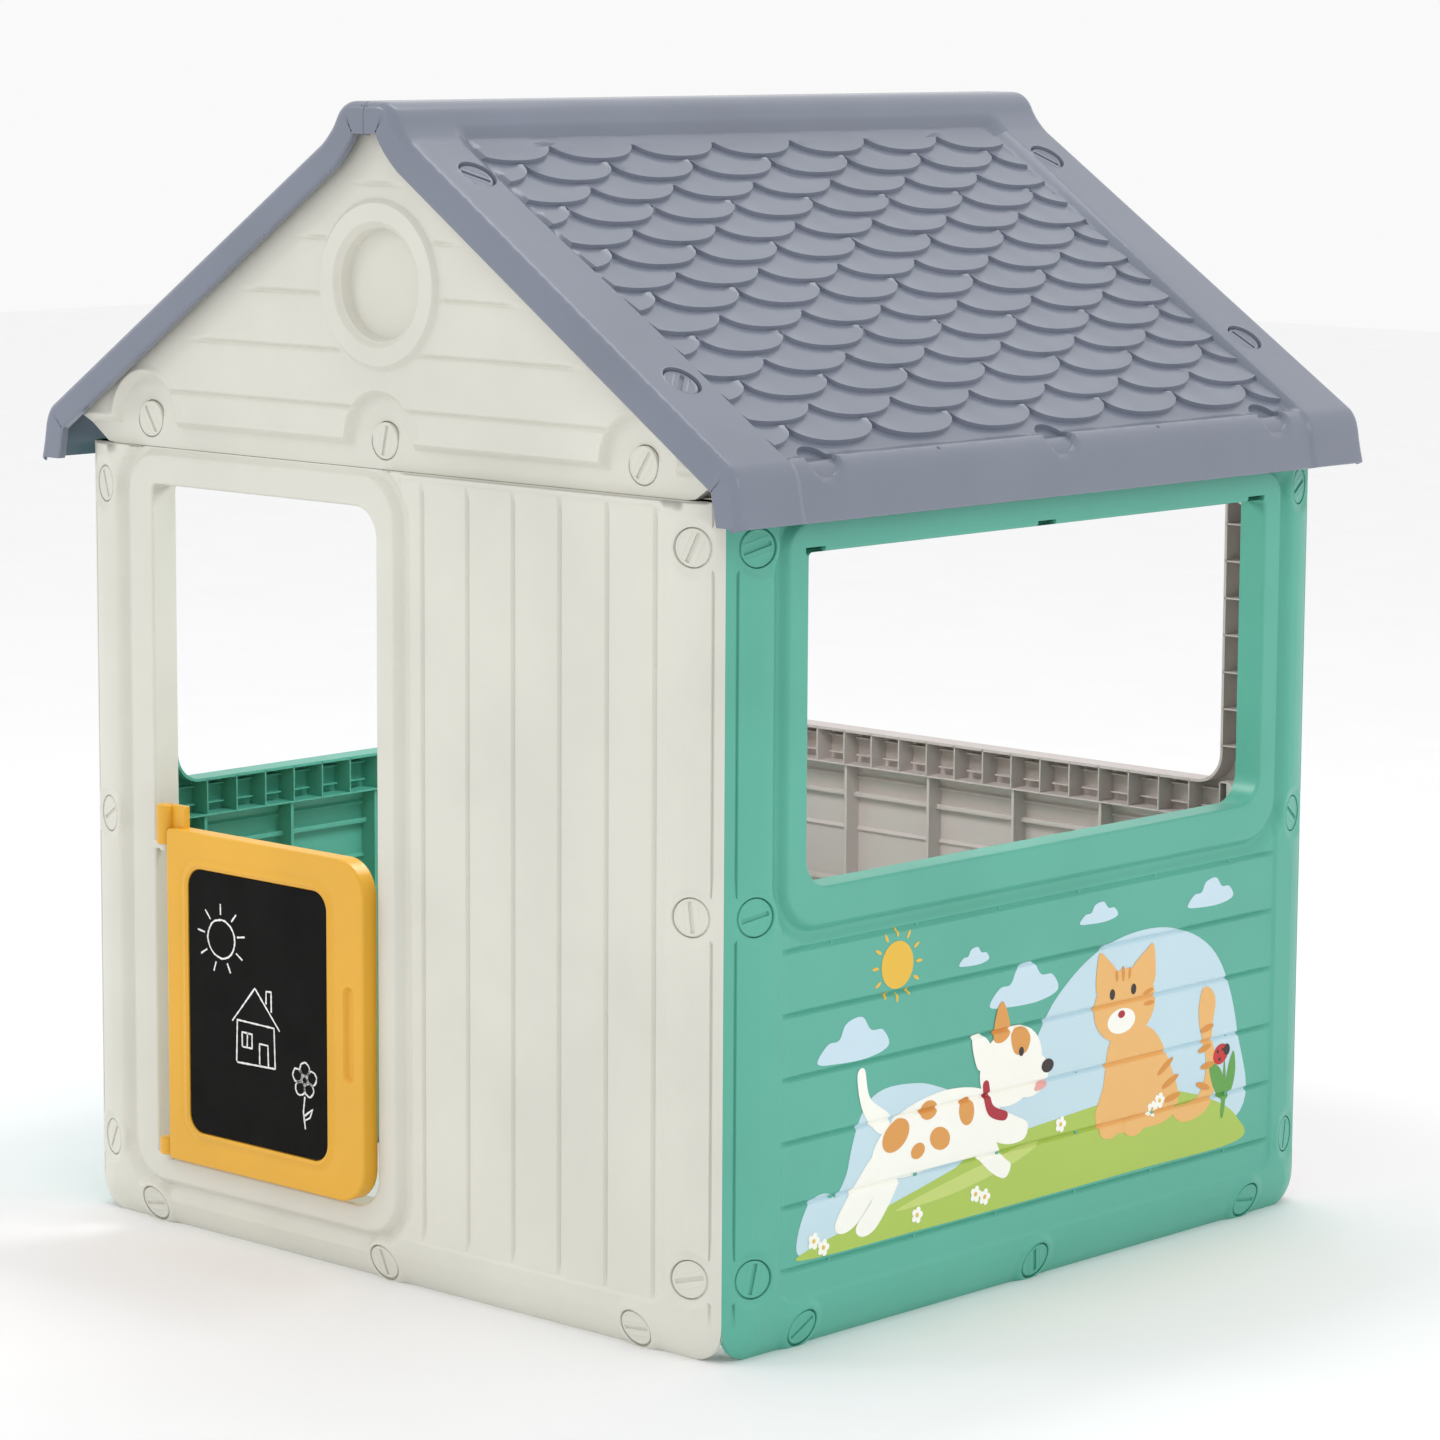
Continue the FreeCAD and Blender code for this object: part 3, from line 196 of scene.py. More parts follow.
class Mesh:
    """Collects points and faces for one piece."""

    def __init__(self):
        self.verts = []
        self.faces = []

    def add(self, points, faces):
        base = len(self.verts)
        self.verts += [tuple(p) for p in points]
        self.faces += [tuple(i + base for i in f) for f in faces]
        return base

    def strip(self, rows, closed):
        """Quads between rows of points of the same length."""
        count = len(rows[0])
        base = self.add([p for row in rows for p in row], [])
        for j in range(len(rows) - 1):
            for i in range(count if closed else count - 1):
                k = (i + 1) % count
                self.faces.append((base + j * count + i, base + j * count + k,
                                   base + (j + 1) * count + k, base + (j + 1) * count + i))

    def box(self, low, high):
        """A block with its edges eased."""
        ease = 0.7 * MM
        solid = bmesh.new()
        bmesh.ops.create_cube(solid, size=1)
        for v in solid.verts:
            v.co = Vector([mix(a, b, c + 0.5) for a, b, c in zip(low, high, v.co)])
        bmesh.ops.bevel(solid, geom=solid.edges[:], offset=ease, segments=1, affect="EDGES")
        solid.verts.index_update()
        self.add([v.co for v in solid.verts], [[v.index for v in f.verts] for f in solid.faces])
        solid.free()

    def lathe(self, profile, axis, count=32):
        """A turned shape: profile holds (radius, height) along axis, a matrix."""
        rows = [[axis @ Vector((r * math.cos(a), r * math.sin(a), h)) for a in turns(count)]
                for r, h in profile]
        self.strip(rows, True)

    def piece(self, name, body, slot, material, replaces=(), angle=35):
        data = bpy.data.meshes.new(name)
        data.from_pydata([tuple(v) for v in self.verts], [], self.faces)
        net = bmesh.new()
        net.from_mesh(data)
        bmesh.ops.remove_doubles(net, verts=net.verts, dist=1e-5)
        bmesh.ops.dissolve_degenerate(net, dist=1e-6, edges=net.edges)
        bmesh.ops.recalc_face_normals(net, faces=net.faces)
        net.to_mesh(data)
        net.free()
        data.validate()
        data.shade_smooth()
        data.set_sharp_from_angle(angle=math.radians(angle))
        thing = bpy.data.objects.new(name, data)
        bpy.context.scene.collection.objects.link(thing)
        data.materials.append(material)
        weighted = thing.modifiers.new("weighted", "WEIGHTED_NORMAL")
        weighted.keep_sharp = True
        weighted.weight = 80
        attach(thing, body)
        if replaces:
            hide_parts(*replaces)
        return thing


# ---------------------------------------------------------------- materials

def shade(color, factor):
    return tuple(min(c * factor, 1.0) for c in color[:3]) + (1.0,)


def srgb(r, g, b):
    """Linear colour from 0-255 screen values."""
    def line(c):
        c = c / 255
        return c / 12.92 if c <= 0.04045 else ((c + 0.055) / 1.055) ** 2.4
    return (line(r), line(g), line(b), 1.0)


def moulded(name, color, roughness, grain=0.06, coat=0.0, mottle=0.06, grain_scale=900.0, specular=0.45):
    """Moulded plastic: faint cloudy colour, fine grain, uneven gloss."""
    material = bpy.data.materials.new(name)
    material.use_nodes = True
    nodes = material.node_tree.nodes
    links = material.node_tree.links
    shader = nodes["Principled BSDF"]
    shader.inputs["Coat Weight"].default_value = coat
    shader.inputs["Coat Roughness"].default_value = 0.12
    shader.inputs["Specular IOR Level"].default_value = specular
    where = nodes.new("ShaderNodeTexCoord")

    def noise(scale, detail):
        node = nodes.new("ShaderNodeTexNoise")
        node.inputs["Scale"].default_value = scale
        node.inputs["Detail"].default_value = detail
        links.new(where.outputs["Object"], node.inputs["Vector"])
        return node

    cloud = noise(5.0, 4.0)
    tint = nodes.new("ShaderNodeValToRGB")
    tint.color_ramp.elements[0].position = 0.3
    tint.color_ramp.elements[0].color = shade(color, 1 - mottle)
    tint.color_ramp.elements[1].position = 0.7
    tint.color_ramp.elements[1].color = shade(color, 1 + mottle * 0.6)
    links.new(cloud.outputs["Fac"], tint.inputs["Fac"])
    links.new(tint.outputs["Color"], shader.inputs["Base Color"])

    gloss = noise(26.0, 3.0)
    span = nodes.new("ShaderNodeMapRange")
    span.inputs["To Min"].default_value = roughness * 0.85
    span.inputs["To Max"].default_value = roughness * 1.2
    links.new(gloss.outputs["Fac"], span.inputs["Value"])
    links.new(span.outputs["Result"], shader.inputs["Roughness"])

    fine = noise(grain_scale, 2.0)
    relief = nodes.new("ShaderNodeBump")
    relief.inputs["Strength"].default_value = grain
    relief.inputs["Distance"].default_value = 0.3 * MM
    links.new(fine.outputs["Fac"], relief.inputs["Height"])
    links.new(relief.outputs["Normal"], shader.inputs["Normal"])
    return material


CREAM = moulded("cream_plastic", srgb(220, 219, 208), 0.36)
GREEN = moulded("green_plastic", srgb(92, 178, 157), 0.38)
TAUPE = moulded("taupe_plastic", srgb(206, 196, 192), 0.40)
GREY = moulded("grey_plastic", srgb(124, 130, 145), 0.24, grain=0.03, coat=0.15)
YELLOW = moulded("yellow_plastic", srgb(234, 176, 52), 0.36)
BOARD = moulded("blackboard", srgb(13, 13, 12), 0.75, grain=0.2, mottle=0.35, specular=0.15)
CHALK = moulded("chalk", srgb(240, 240, 238), 0.9, grain=0.6, mottle=0.25, grain_scale=1600.0)
INNER = moulded("inner_plastic", srgb(205, 203, 196), 0.45)


def print_colour(name, r, g, b):
    return moulded(name, srgb(r, g, b), 0.34, grain=0.03, mottle=0.03)


# ---------------------------------------------------------------- screws

def screw_net():
    """A slotted head as a flat net: a rounded rim, a slot and two fine ribs beside it."""
    slot = 2.6 * MM
    rib = 8.5 * MM
    rim = HEAD_RADIUS - 2.2 * MM

    def depth(x, z):
        r = math.hypot(x, z)
        d = fillet(HEAD_RADIUS - r, 1.6 * MM)
        d += 0.5 * MM * smooth((rim - r) / (1.2 * MM))
        inside = smooth((rim - 1.2 * MM - r) / (1.0 * MM))
        if abs(z) < slot:
            d += 2.4 * MM * inside
        for line in (-rib, rib):
            d -= 0.5 * MM * bump((z - line) / (1.3 * MM)) * inside
        return d

    loops = [circle(0, 0, HEAD_RADIUS - inset * MM) for inset in (0, 0.4, 1.6, 2.2)]
    loops += [circle(0, 0, rim - inset * MM) for inset in (1.2, 2.2)]
    reach = rim - 1.7 * MM
    lines = []
    for z in (slot, slot - 0.3 * MM, -slot, -slot + 0.3 * MM):
        lines.append(divide([(-reach, z), (reach, z)], 3 * MM))
    for middle in (-rib, rib):
        half = math.sqrt(reach ** 2 - rib ** 2)
        for off in (-1.3, -0.6, 0, 0.6, 1.3):
            lines.append(divide([(-half, middle + off * MM), (half, middle + off * MM)], 3 * MM))
    size = HEAD_RADIUS
    net = triangulate(loops, lines, (-size, size, -size, size), 4 * MM,
                      lambda x, z: math.hypot(x, z) < HEAD_RADIUS)
    verts = [(x, z, -depth(x, z)) for x, z in net[0]]
    return verts, net[1]


SCREW_NET = screw_net()
DICE = random.Random(7)


def add_screw(mesh, place, outward):
    """One screw head, its outer face at place, its slot turned at random."""
    normal = outward.normalized()
    up = Vector((0, 0, 1))
    side = up.cross(normal).normalized()
    rise = normal.cross(side)
    turn = Matrix((side, rise, normal)).transposed().to_4x4()
    axis = Matrix.Translation(place) @ turn @ Matrix.Rotation(DICE.uniform(0, math.pi), 4, "Z")
    verts, faces = SCREW_NET
    mesh.add([axis @ Vector(v) for v in verts], faces)
    mesh.lathe([(HEAD_RADIUS, -1.6 * MM), (HEAD_RADIUS, -5 * MM), (7 * MM, -5 * MM), (7 * MM, -22 * MM),
                (0.5 * MM, -22 * MM)], axis, 48)


class Seat:
    """A screw's place on a wall: flat coordinates, depth of its head and how its face leans."""

    def __init__(self, x, z, depth, lean_x=0.0, lean_z=0.0):
        self.x, self.z, self.depth = x, z, depth
        self.lean_x, self.lean_z = math.radians(lean_x), math.radians(lean_z)

    def plane(self, x, z):
        return self.depth + (x - self.x) * math.tan(self.lean_x) + (z - self.z) * math.tan(self.lean_z)

    def dish(self, x, z, base):
        """The wall's depth with a flat seat round the head and a thin gap beside it."""
        r = math.hypot(x - self.x, z - self.z)
        if r > 36 * MM:
            return base
        d = mix(base, self.plane(x, z), 1 - smooth((r - 23.5 * MM) / (11 * MM)))
        return d + (5 * MM if r < HEAD_GAP else 0)

    def loops(self):
        return [circle(self.x, self.z, r * MM) for r in GAP_RINGS + (23.5, 26, 29, 32, 35)]

    def outward(self):
        across, rise = math.cos(self.lean_z), math.sin(self.lean_z)
        return Vector((math.sin(self.lean_x) * across, -math.cos(self.lean_x) * across, rise))


SEAT_LEVELS = (92, 491.5, 891)
EDGE_LEAN = 18
FOOT_LEAN = -20


def wall_seats():
    """Three screws up each edge of a wall and three along its foot."""
    seats = [Seat(side * 482 * MM, level * MM, 6.5 * MM, side * EDGE_LEAN, 0)
             for side in (-1, 1) for level in SEAT_LEVELS]
    return seats + [Seat(i * 403 * MM, 23 * MM, 5 * MM, 0, FOOT_LEAN) for i in (-1, 0, 1)]


# ---------------------------------------------------------------- walls

EDGE_RADIUS = 90 * MM
EDGE_RUN = 56.6 * MM
EDGE_SETBACK = 20 * MM
BORDER = Rounded(-WALL_HALF, WALL_HALF, 0, 1.4, 40 * MM)
SILL_CELL = 47 * MM
FRAME_DROP = 11 * MM
SEAM_INSET = 11 * MM
NOTCH_LEVEL = 880.5 * MM
NOTCHES = (-397 * MM, -5 * MM, 388 * MM)
BOARD_OFFSETS = (-4, -2.6, -1.3, 0, 1.3, 2.6, 4)


class WallShape:
    """One moulded wall: its opening, the raised frame round it, and the boards beside or below."""

    def __init__(self, yaw, opening, surround, field, boards, upright):
        self.turn = Matrix.Rotation(math.radians(yaw), 4, "Z")
        self.opening, self.surround, self.field = opening, surround, field
        self.boards, self.upright = boards, upright
        self.seats = wall_seats()
        self.notches = () if upright else NOTCHES

    def place(self, x, depth, z):
        return self.turn @ Vector((x, -REACH + depth, z))

    def base(self, x, z):
        """Depth of border, boards and grooves, without frame and seats."""
        inside = -BORDER.distance(x, z)
        depth = EDGE_RADIUS - math.sqrt(EDGE_RADIUS ** 2 - max(EDGE_RUN - max(inside, 0), 0) ** 2)
        within = -self.field.distance(x, z)
        if within > 0:
            depth += 3.2 * MM * smooth(within / (7 * MM))
            for board in self.boards:
                off = (x if self.upright else z) - board
                if abs(off) < 4 * MM:
                    depth += 4.0 * MM * bump(off / (4 * MM)) * smooth((within - 3 * MM) / (8 * MM))
        seam = abs(inside - SEAM_INSET)
        tab = min(abs(z - level * MM) for level in SEAT_LEVELS)
        if seam < 1.6 * MM and tab > 25 * MM and z > 60 * MM:
            depth += 3 * MM
        return depth

    def depth(self, x, z):
        depth = self.base(x, z)
        out = self.surround.distance(x, z)
        if out <= 0:
            depth = 0.0
        elif out < 12 * MM:
            depth = FRAME_DROP * smooth(out / (12 * MM))
        elif out < 30 * MM:
            depth = mix(FRAME_DROP, depth, smooth((out - 12 * MM) / (18 * MM)))
        for seat in self.seats:
            depth = seat.dish(x, z, depth)
        for notch in self.notches:
            if abs(x - notch) < 15.5 * MM and abs(z - 883 * MM) < 2.7 * MM:
                depth = 14 * MM
        return depth + fillet(self.opening.distance(x, z), 4 * MM)

    def net(self):
        loops = [self.opening.loop(g * MM) for g in (0, 0.5, 1.5, 2.7, 4)]
        loops += [self.surround.loop(g * MM) for g in (0, 2, 4, 6, 8, 10, 12, 15, 18, 21, 25, 30)]
        loops += [self.field.loop(-g * MM) for g in (0, 2, 4.5, 7)]
        loops += [BORDER.loop(-g * MM, step=5 * MM) for g in
                  (0, 3, 6, 9.3, 9.7, 12.3, 12.7, 18, 24, 31, 39, 48, 56.6)]
        for seat in self.seats:
            loops += seat.loops()
        loops += [upright_box(notch, NOTCH_LEVEL, 16 * MM, 5.5 * MM) for notch in self.notches]
        loops += [upright_box(notch, NOTCH_LEVEL, 15 * MM, 4.8 * MM) for notch in self.notches]
        lines = [divide([(-WALL_HALF, WALL_TOP), (WALL_HALF, WALL_TOP)], SHEET_STEP)]
        for board in self.boards:
            for off in BOARD_OFFSETS:
                place = board + off * MM
                if self.upright:
                    ends = [(place, self.field.low), (place, self.field.high)]
                else:
                    ends = [(self.field.left, place), (self.field.right, place)]
                lines.append(divide(ends, 20 * MM))
        bounds = (-WALL_HALF, WALL_HALF, 0, WALL_TOP)
        return triangulate(loops, lines, bounds, 22 * MM, self.covers, self.plain)

    def plain(self, x, z):
        """Places away from every shaped line, where points may lie loose."""
        board = min(abs((x if self.upright else z) - b) for b in self.boards)
        seat = min(math.hypot(x - s.x, z - s.z) for s in self.seats)
        return (self.covers(x, z) and BORDER.distance(x, z) < -60 * MM and z < WALL_TOP - 8 * MM
                and seat > 42 * MM and board > 9 * MM and abs(self.field.distance(x, z)) > 12 * MM
                and not -3 * MM < self.surround.distance(x, z) < 36 * MM
                and self.opening.distance(x, z) > 8 * MM)

    def covers(self, x, z):
        return z < WALL_TOP and BORDER.distance(x, z) < 0 and self.opening.distance(x, z) > 0


def wall_shell(shape):
    """Skin, jamb, edge flanges and top flange of a wall."""
    mesh = Mesh()
    flat, faces = shape.net()
    depths = [shape.depth(x, z) for x, z in flat]
    mesh.add([shape.place(x, d, z) for (x, z), d in zip(flat, depths)], faces)
    backs = [max(shape.base(x, z), d * 0.6) + SKIN for (x, z), d in zip(flat, depths)]
    mesh.add([shape.place(x, d, z) for (x, z), d in zip(flat, backs)], faces)

    jamb = [shape.opening.loop(g) for g in (0, 0, SKIN * 0.9, SKIN * 0.9)]
    rows = [[shape.place(x, d, z) for x, z in ring] for ring, d in
            zip(jamb, (4 * MM, WALL_DEPTH, WALL_DEPTH, SKIN))]
    mesh.strip(rows, True)

    rows = []
    for grow, d in ((0, EDGE_SETBACK), (-16 * MM, WALL_DEPTH), (-20 * MM, WALL_DEPTH), (-6 * MM, 24 * MM)):
        ring = [(x, min(z, WALL_TOP)) for x, z in BORDER.loop(grow, step=5 * MM)]
        rows.append([shape.place(x, d, z) for x, z in ring])
    mesh.strip(rows, True)
    tops = sorted({x for x, z in flat if z > WALL_TOP - 1e-6})
    inner = WALL_HALF - WALL_DEPTH + EDGE_SETBACK
    rows = [[shape.place(x, shape.depth(x, WALL_TOP), WALL_TOP) for x in tops]]
    for d, z in ((WALL_DEPTH, WALL_TOP), (WALL_DEPTH, WALL_TOP - SKIN)):
        rows.append([shape.place(min(max(x, -inner), inner), d, z) for x in tops])
    mesh.strip(rows, False)
    return mesh


def rib(mesh, shape, start, stop, width, top=WALL_DEPTH):
    """A rib between two flat places, rising from the skin to a depth, its free edge eased."""
    run = Vector(stop) - Vector(start)
    count = max(2, math.ceil(run.length / (7 * MM)))
    side = Vector((-run.y, run.x)).normalized() * width / 2
    ease = 0.6 * MM
    rows = []
    for i in range(count + 1):
        x, z = Vector(start) + run * i / count
        low = max(shape.depth(x + side.x * k, z + side.y * k) for k in (-1, 0, 1)) + 1.5 * MM
        low = min(low, top - 2 * MM)
        rows.append([shape.place(x + side.x * k, d, z + side.y * k) for k, d in
                     ((-1, low), (-1, top - ease), (-0.6, top), (0.6, top), (1, top - ease), (1, low))])
    mesh.strip(rows, True)
    for row in (rows[0], rows[-1]):
        mesh.add(row, [tuple(range(len(row)))])


def ribs(mesh, shape, sides):
    """The open cells round the opening and the stiffeners below or beside it, seen from inside."""
    thin = 2.2 * MM
    hole = shape.opening
    ring = SILL_CELL
    left, right, low, high = hole.left, hole.right, hole.low, hole.high
    foot = low - ring
    if "low" in sides:
        rib(mesh, shape, (left - ring, foot), (right + ring, foot), thin)
        count = round((right - left) / SILL_CELL)
        pitch = (right - left) / count
        for i in range(count + 1):
            x = left + i * pitch
            rib(mesh, shape, (x, foot), (x, low - 1 * MM), thin)
            if i < count:
                for z in (foot + 12 * MM, low - 12 * MM):
                    rib(mesh, shape, (x + 8 * MM, z), (x + pitch - 8 * MM, z), 2 * MM, 20 * MM)
            if i % 3 == 1:
                rib(mesh, shape, (x, 20 * MM), (x, foot), 2 * thin, WALL_DEPTH - 4 * MM)
        for z in (foot - 42 * MM, foot - 160 * MM, foot - 280 * MM):
            rib(mesh, shape, (left - ring, z), (right + ring, z), 6 * MM, 16 * MM)
    for side, edge in ((-1, left), (1, right)):
        if ("left" if side < 0 else "right") in sides:
            x = edge + side * ring
            rib(mesh, shape, (x, max(foot, 20 * MM)), (x, WALL_TOP - 10 * MM), thin)
            count = round((high - low) / SILL_CELL)
            for i in range(count + 1):
                z = mix(low, high, i / count)
                rib(mesh, shape, (edge + side * 1 * MM, z), (x, z), thin)


FRONT_BOARDS = [69 * MM + i * 72.2 * MM for i in range(6)]
WINDOW_BOARDS = [92 * MM + i * 71.2 * MM for i in range(6)]
FRONT = WallShape(0, plate(-390, -5, 86, 897, 6, 36, 36, 6), plate(-429, 22, 60, 929, 45, 45, 50, 40),
                  plate(32, 452, 56, 936, 4, 26, 26, 4), FRONT_BOARDS, True)


def window_shape(yaw):
    return WallShape(yaw, plate(-406, 406, 513, 880, 36, 36, 6, 6),
                     plate(-435, 435, 474, 912, 48, 48, 30, 30),
                     plate(-447, 447, 55, 930, 22, 22, 22, 22), WINDOW_BOARDS, False)


RIGHT = window_shape(90)
LEFT = window_shape(-90)
REAR = window_shape(180)


def wall_screws(name, shape, material, slot, node):
    mesh = Mesh()
    for seat in shape.seats:
        add_screw(mesh, shape.place(seat.x, seat.depth, seat.z), shape.turn.to_3x3() @ seat.outward())
    mesh.piece(name, "house", slot, material, (node,), 30)


def build_walls():
    for name, shape, material, slot, sides in (
            ("front", FRONT, CREAM, "cream_plastic", ("left", "right")),
            ("right", RIGHT, GREEN, "green_plastic", ("low", "left", "right")),
            ("left", LEFT, GREEN, "green_plastic", ("low", "left", "right")),
            ("rear", REAR, TAUPE, "taupe_plastic", ("low", "left", "right"))):
        mesh = wall_shell(shape)
        ribs(mesh, shape, sides)
        mesh.piece(f"{name}_wall_moulding", "house", slot, material, (f"{name}_wall",))
        wall_screws(f"{name}_wall_screw_heads", shape, material, slot, f"{name}_wall_screws")


# ---------------------------------------------------------------- gables

GABLE_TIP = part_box("front_gable")[1][0]
GABLE_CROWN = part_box("front_gable")[1][2]
RING = Vector((2 * MM, 1.149))
RING_INNER = 64 * MM
RING_OUTER = 98 * MM
SCREW_LEVEL = 973 * MM
GABLE_SCREWS = (-404 * MM, 0.0, 404 * MM)
ALCOVE_RADIUS = 50 * MM
ALCOVE_FLOOR = 966 * MM
GROOVE_HALF = 4.5 * MM
GROOVE_LEVELS = [1.0085 + 0.0632 * i for i in range(5)]
GROOVE_PEAK = 1.2885


def gable_outline():
    seat = 12.5 * MM / math.cos(PITCH)
    shoulder = PEAK - seat - math.tan(PITCH) * GABLE_TIP
    half = (PEAK - seat - GABLE_CROWN) / math.tan(PITCH)
    right = [(GABLE_TIP - 50 * MM, GABLE_LOW), (GABLE_TIP - 38 * MM, GABLE_LOW + 1.5 * MM),
             (GABLE_TIP - 8 * MM, GABLE_LOW + 22 * MM), (GABLE_TIP, GABLE_LOW + 30 * MM),
             (GABLE_TIP, shoulder), (half, GABLE_CROWN)]
    return right + [(-x, z) for x, z in reversed(right)]


def inside_polygon(points, x, z):
    inside = False
    for (x0, z0), (x1, z1) in zip(points, points[1:] + points[:1]):
        if (z0 > z) != (z1 > z) and x < (x1 - x0) * (z - z0) / (z1 - z0) + x0:
            inside = not inside
    return inside


def alcove(x, z):
    """Distance outside the low border strip and its three arches."""
    best = z - ALCOVE_FLOOR
    for cx in GABLE_SCREWS:
        away = math.hypot(x - cx, z - SCREW_LEVEL) if z > SCREW_LEVEL else abs(x - cx)
        best = min(best, away - ALCOVE_RADIUS)
    return best


def gable_depth(x, z):
    out = alcove(x, z)
    raised = smooth((out + 2 * MM) / (10 * MM))
    depth = 9 * MM * (1 - raised)
    depth += 4 * MM * smooth((-out - 6 * MM) / (18 * MM)) * smooth((z - 970 * MM) / (20 * MM))
    depth -= 1.6 * MM * bump((out - 9 * MM) / (7 * MM))
    ring = math.hypot(x - RING.x, z - RING.y)
    reach = (GROOVE_PEAK - z) / math.tan(PITCH)
    for level in GROOVE_LEVELS:
        off = z - level
        if abs(off) < GROOVE_HALF and out > 0 and ring > RING_OUTER:
            fade = smooth((reach - abs(x)) / (30 * MM)) * smooth((ring - RING_OUTER) / (8 * MM))
            depth += 3.8 * MM * bump(off / GROOVE_HALF) * fade * raised
    band = min(ring - RING_INNER, RING_OUTER - ring)
    if band > 0:
        depth -= 6.5 * MM * smooth(band / (7 * MM))
    elif ring < RING_INNER:
        depth += 13 * MM * smooth((RING_INNER - ring) / (3 * MM))
    for cx in GABLE_SCREWS:
        if math.hypot(x - cx, z - SCREW_LEVEL) < HEAD_GAP:
            depth += 4 * MM
    return depth


def gable_net(outline, rim):
    loops = [rim]
    for cx in GABLE_SCREWS:
        loops += [circle(cx, SCREW_LEVEL, r * MM) for r in GAP_RINGS]
    loops += [circle(RING.x, RING.y, r * MM, 96) for r in (61, 62.5, 64, 66, 68, 71, 91, 94, 96, 98, 106)]
    lines = []
    for g in (-2, 0, 2, 4, 6, 8, 10, 13, 16):
        grow = g * MM
        radius = ALCOVE_RADIUS + grow
        level = ALCOVE_FLOOR + grow
        start = math.asin(min((level - SCREW_LEVEL) / radius, 1))
        arch = [mix(start, math.pi - start, i / 24) for i in range(25)]
        for cx in GABLE_SCREWS:
            lines.append([(cx + radius * math.cos(a), SCREW_LEVEL + radius * math.sin(a)) for a in arch])
        stops = (-GABLE_TIP,) + GABLE_SCREWS + (GABLE_TIP,)
        for x0, x1 in zip(stops, stops[1:]):
            a = x0 + (radius if x0 > -GABLE_TIP else 14 * MM)
            b = x1 - (radius if x1 < GABLE_TIP else 14 * MM)
            lines.append(divide([(a, level), (b, level)], 12 * MM))
    for level in GROOVE_LEVELS:
        reach = (GROOVE_PEAK - level) / math.tan(PITCH)
        for off in (-4.5, -3, -1.5, 0, 1.5, 3, 4.5):
            z = level + off * MM
            inner = math.sqrt(max(RING_OUTER ** 2 - (z - RING.y) ** 2, 0)) + 1 * MM
            if reach > inner + 10 * MM:
                lines += [divide([(side * inner, z), (side * reach, z)], 10 * MM) for side in (-1, 1)]
    bounds = (-GABLE_TIP, GABLE_TIP, GABLE_LOW, GABLE_CROWN)

    def loose(x, z):
        return inside_polygon(outline, x, z) and min(math.hypot(x - a, z - b) for a, b in rim) > 10 * MM

    return triangulate(loops, lines, bounds, 14 * MM, lambda x, z: inside_polygon(outline, x, z), loose)


def build_gables():
    outline = gable_outline()
    rim = divide(outline + outline[:1], 15 * MM)[:-1]
    flat, faces = gable_net(outline, rim)
    centre_z = sum(z for x, z in rim) / len(rim)
    for name, yaw in (("front", 0), ("rear", 180)):
        turn = Matrix.Rotation(math.radians(yaw), 4, "Z")
        mesh = Mesh()

        def place(x, depth, z):
            return turn @ Vector((x, -GABLE_FACE + depth, z))

        mesh.add([place(x, gable_depth(x, z), z) for x, z in flat], faces)
        mesh.add([place(x, gable_depth(x, z) + SKIN, z) for x, z in flat], faces)
        deep = 70 * MM
        inner = [(x * (1 - 4 * MM / GABLE_TIP), mix(z, centre_z, 0.02)) for x, z in rim]
        rows = [[place(x, gable_depth(x, z), z) for x, z in rim], [place(x, deep, z) for x, z in rim],
                [place(x, deep, z) for x, z in inner], [place(x, 14 * MM, z) for x, z in inner]]
        mesh.strip(rows, True)
        mesh.piece(f"{name}_gable_moulding", "house", "cream_plastic", CREAM, (f"{name}_gable",))
        heads = Mesh()
        for cx in GABLE_SCREWS:
            add_screw(heads, place(cx, 8.5 * MM, SCREW_LEVEL), turn.to_3x3() @ Vector((0, -1, 0)))
        heads.piece(f"{name}_gable_screw_heads", "house", "cream_plastic", CREAM,
                    (f"{name}_gable_screws",), 30)


# ---------------------------------------------------------------- roof

ALONG = Vector((math.cos(PITCH), -math.sin(PITCH)))
OUT = Vector((math.sin(PITCH), math.cos(PITCH)))
FIELD_HALF = 450 * MM
FIELD_DROP = 10 * MM
ROW_PITCH = 40 * MM
ROW_COUNT = 14
FIRST_ROW = 116 * MM
SCALLOP = 135 * MM
SCALLOP_DEPTH = 33 * MM
TILE = 6 * MM
RIDGE_HALF = 20 * MM
SLOPE_START = 74 * MM
END_ROUND = 11 * MM


def roof_profile():
    """The roof's outer line across a slope, from the ridge seam to the eave edge, as close points."""
    points = [Vector((0.3 * MM, ROOF_TOP - 1.5 * MM)), Vector((1.0 * MM, ROOF_TOP - 0.4 * MM)),
              Vector((2.5 * MM, ROOF_TOP)), Vector((RIDGE_HALF, ROOF_TOP))]

    def slope(x):
        return Vector((x, PEAK - math.tan(PITCH) * x))

    def curve(a, b, c, count):
        steps = [i / count for i in range(1, count + 1)]
        return [a * (1 - t) ** 2 + b * 2 * t * (1 - t) + c * t * t for t in steps]

    points += curve(points[-1], Vector((40 * MM, ROOF_TOP)), Vector((50 * MM, ROOF_TOP - 19 * MM)), 10)
    points += curve(points[-1], Vector((56 * MM, ROOF_TOP - 32 * MM)), slope(SLOPE_START), 8)
    turn = ROOF_HALF - 23 * MM
    points += [slope(mix(SLOPE_START, turn, i / 24)) for i in range(1, 25)]
    points += curve(points[-1], slope(ROOF_HALF - 10 * MM),
                    Vector((ROOF_HALF - 7 * MM, ROOF_LOW + 34 * MM)), 10)
    points += curve(points[-1], Vector((ROOF_HALF - 4 * MM, ROOF_LOW + 16 * MM)),
                    Vector((ROOF_HALF, ROOF_LOW + 2 * MM)), 5)
    return points


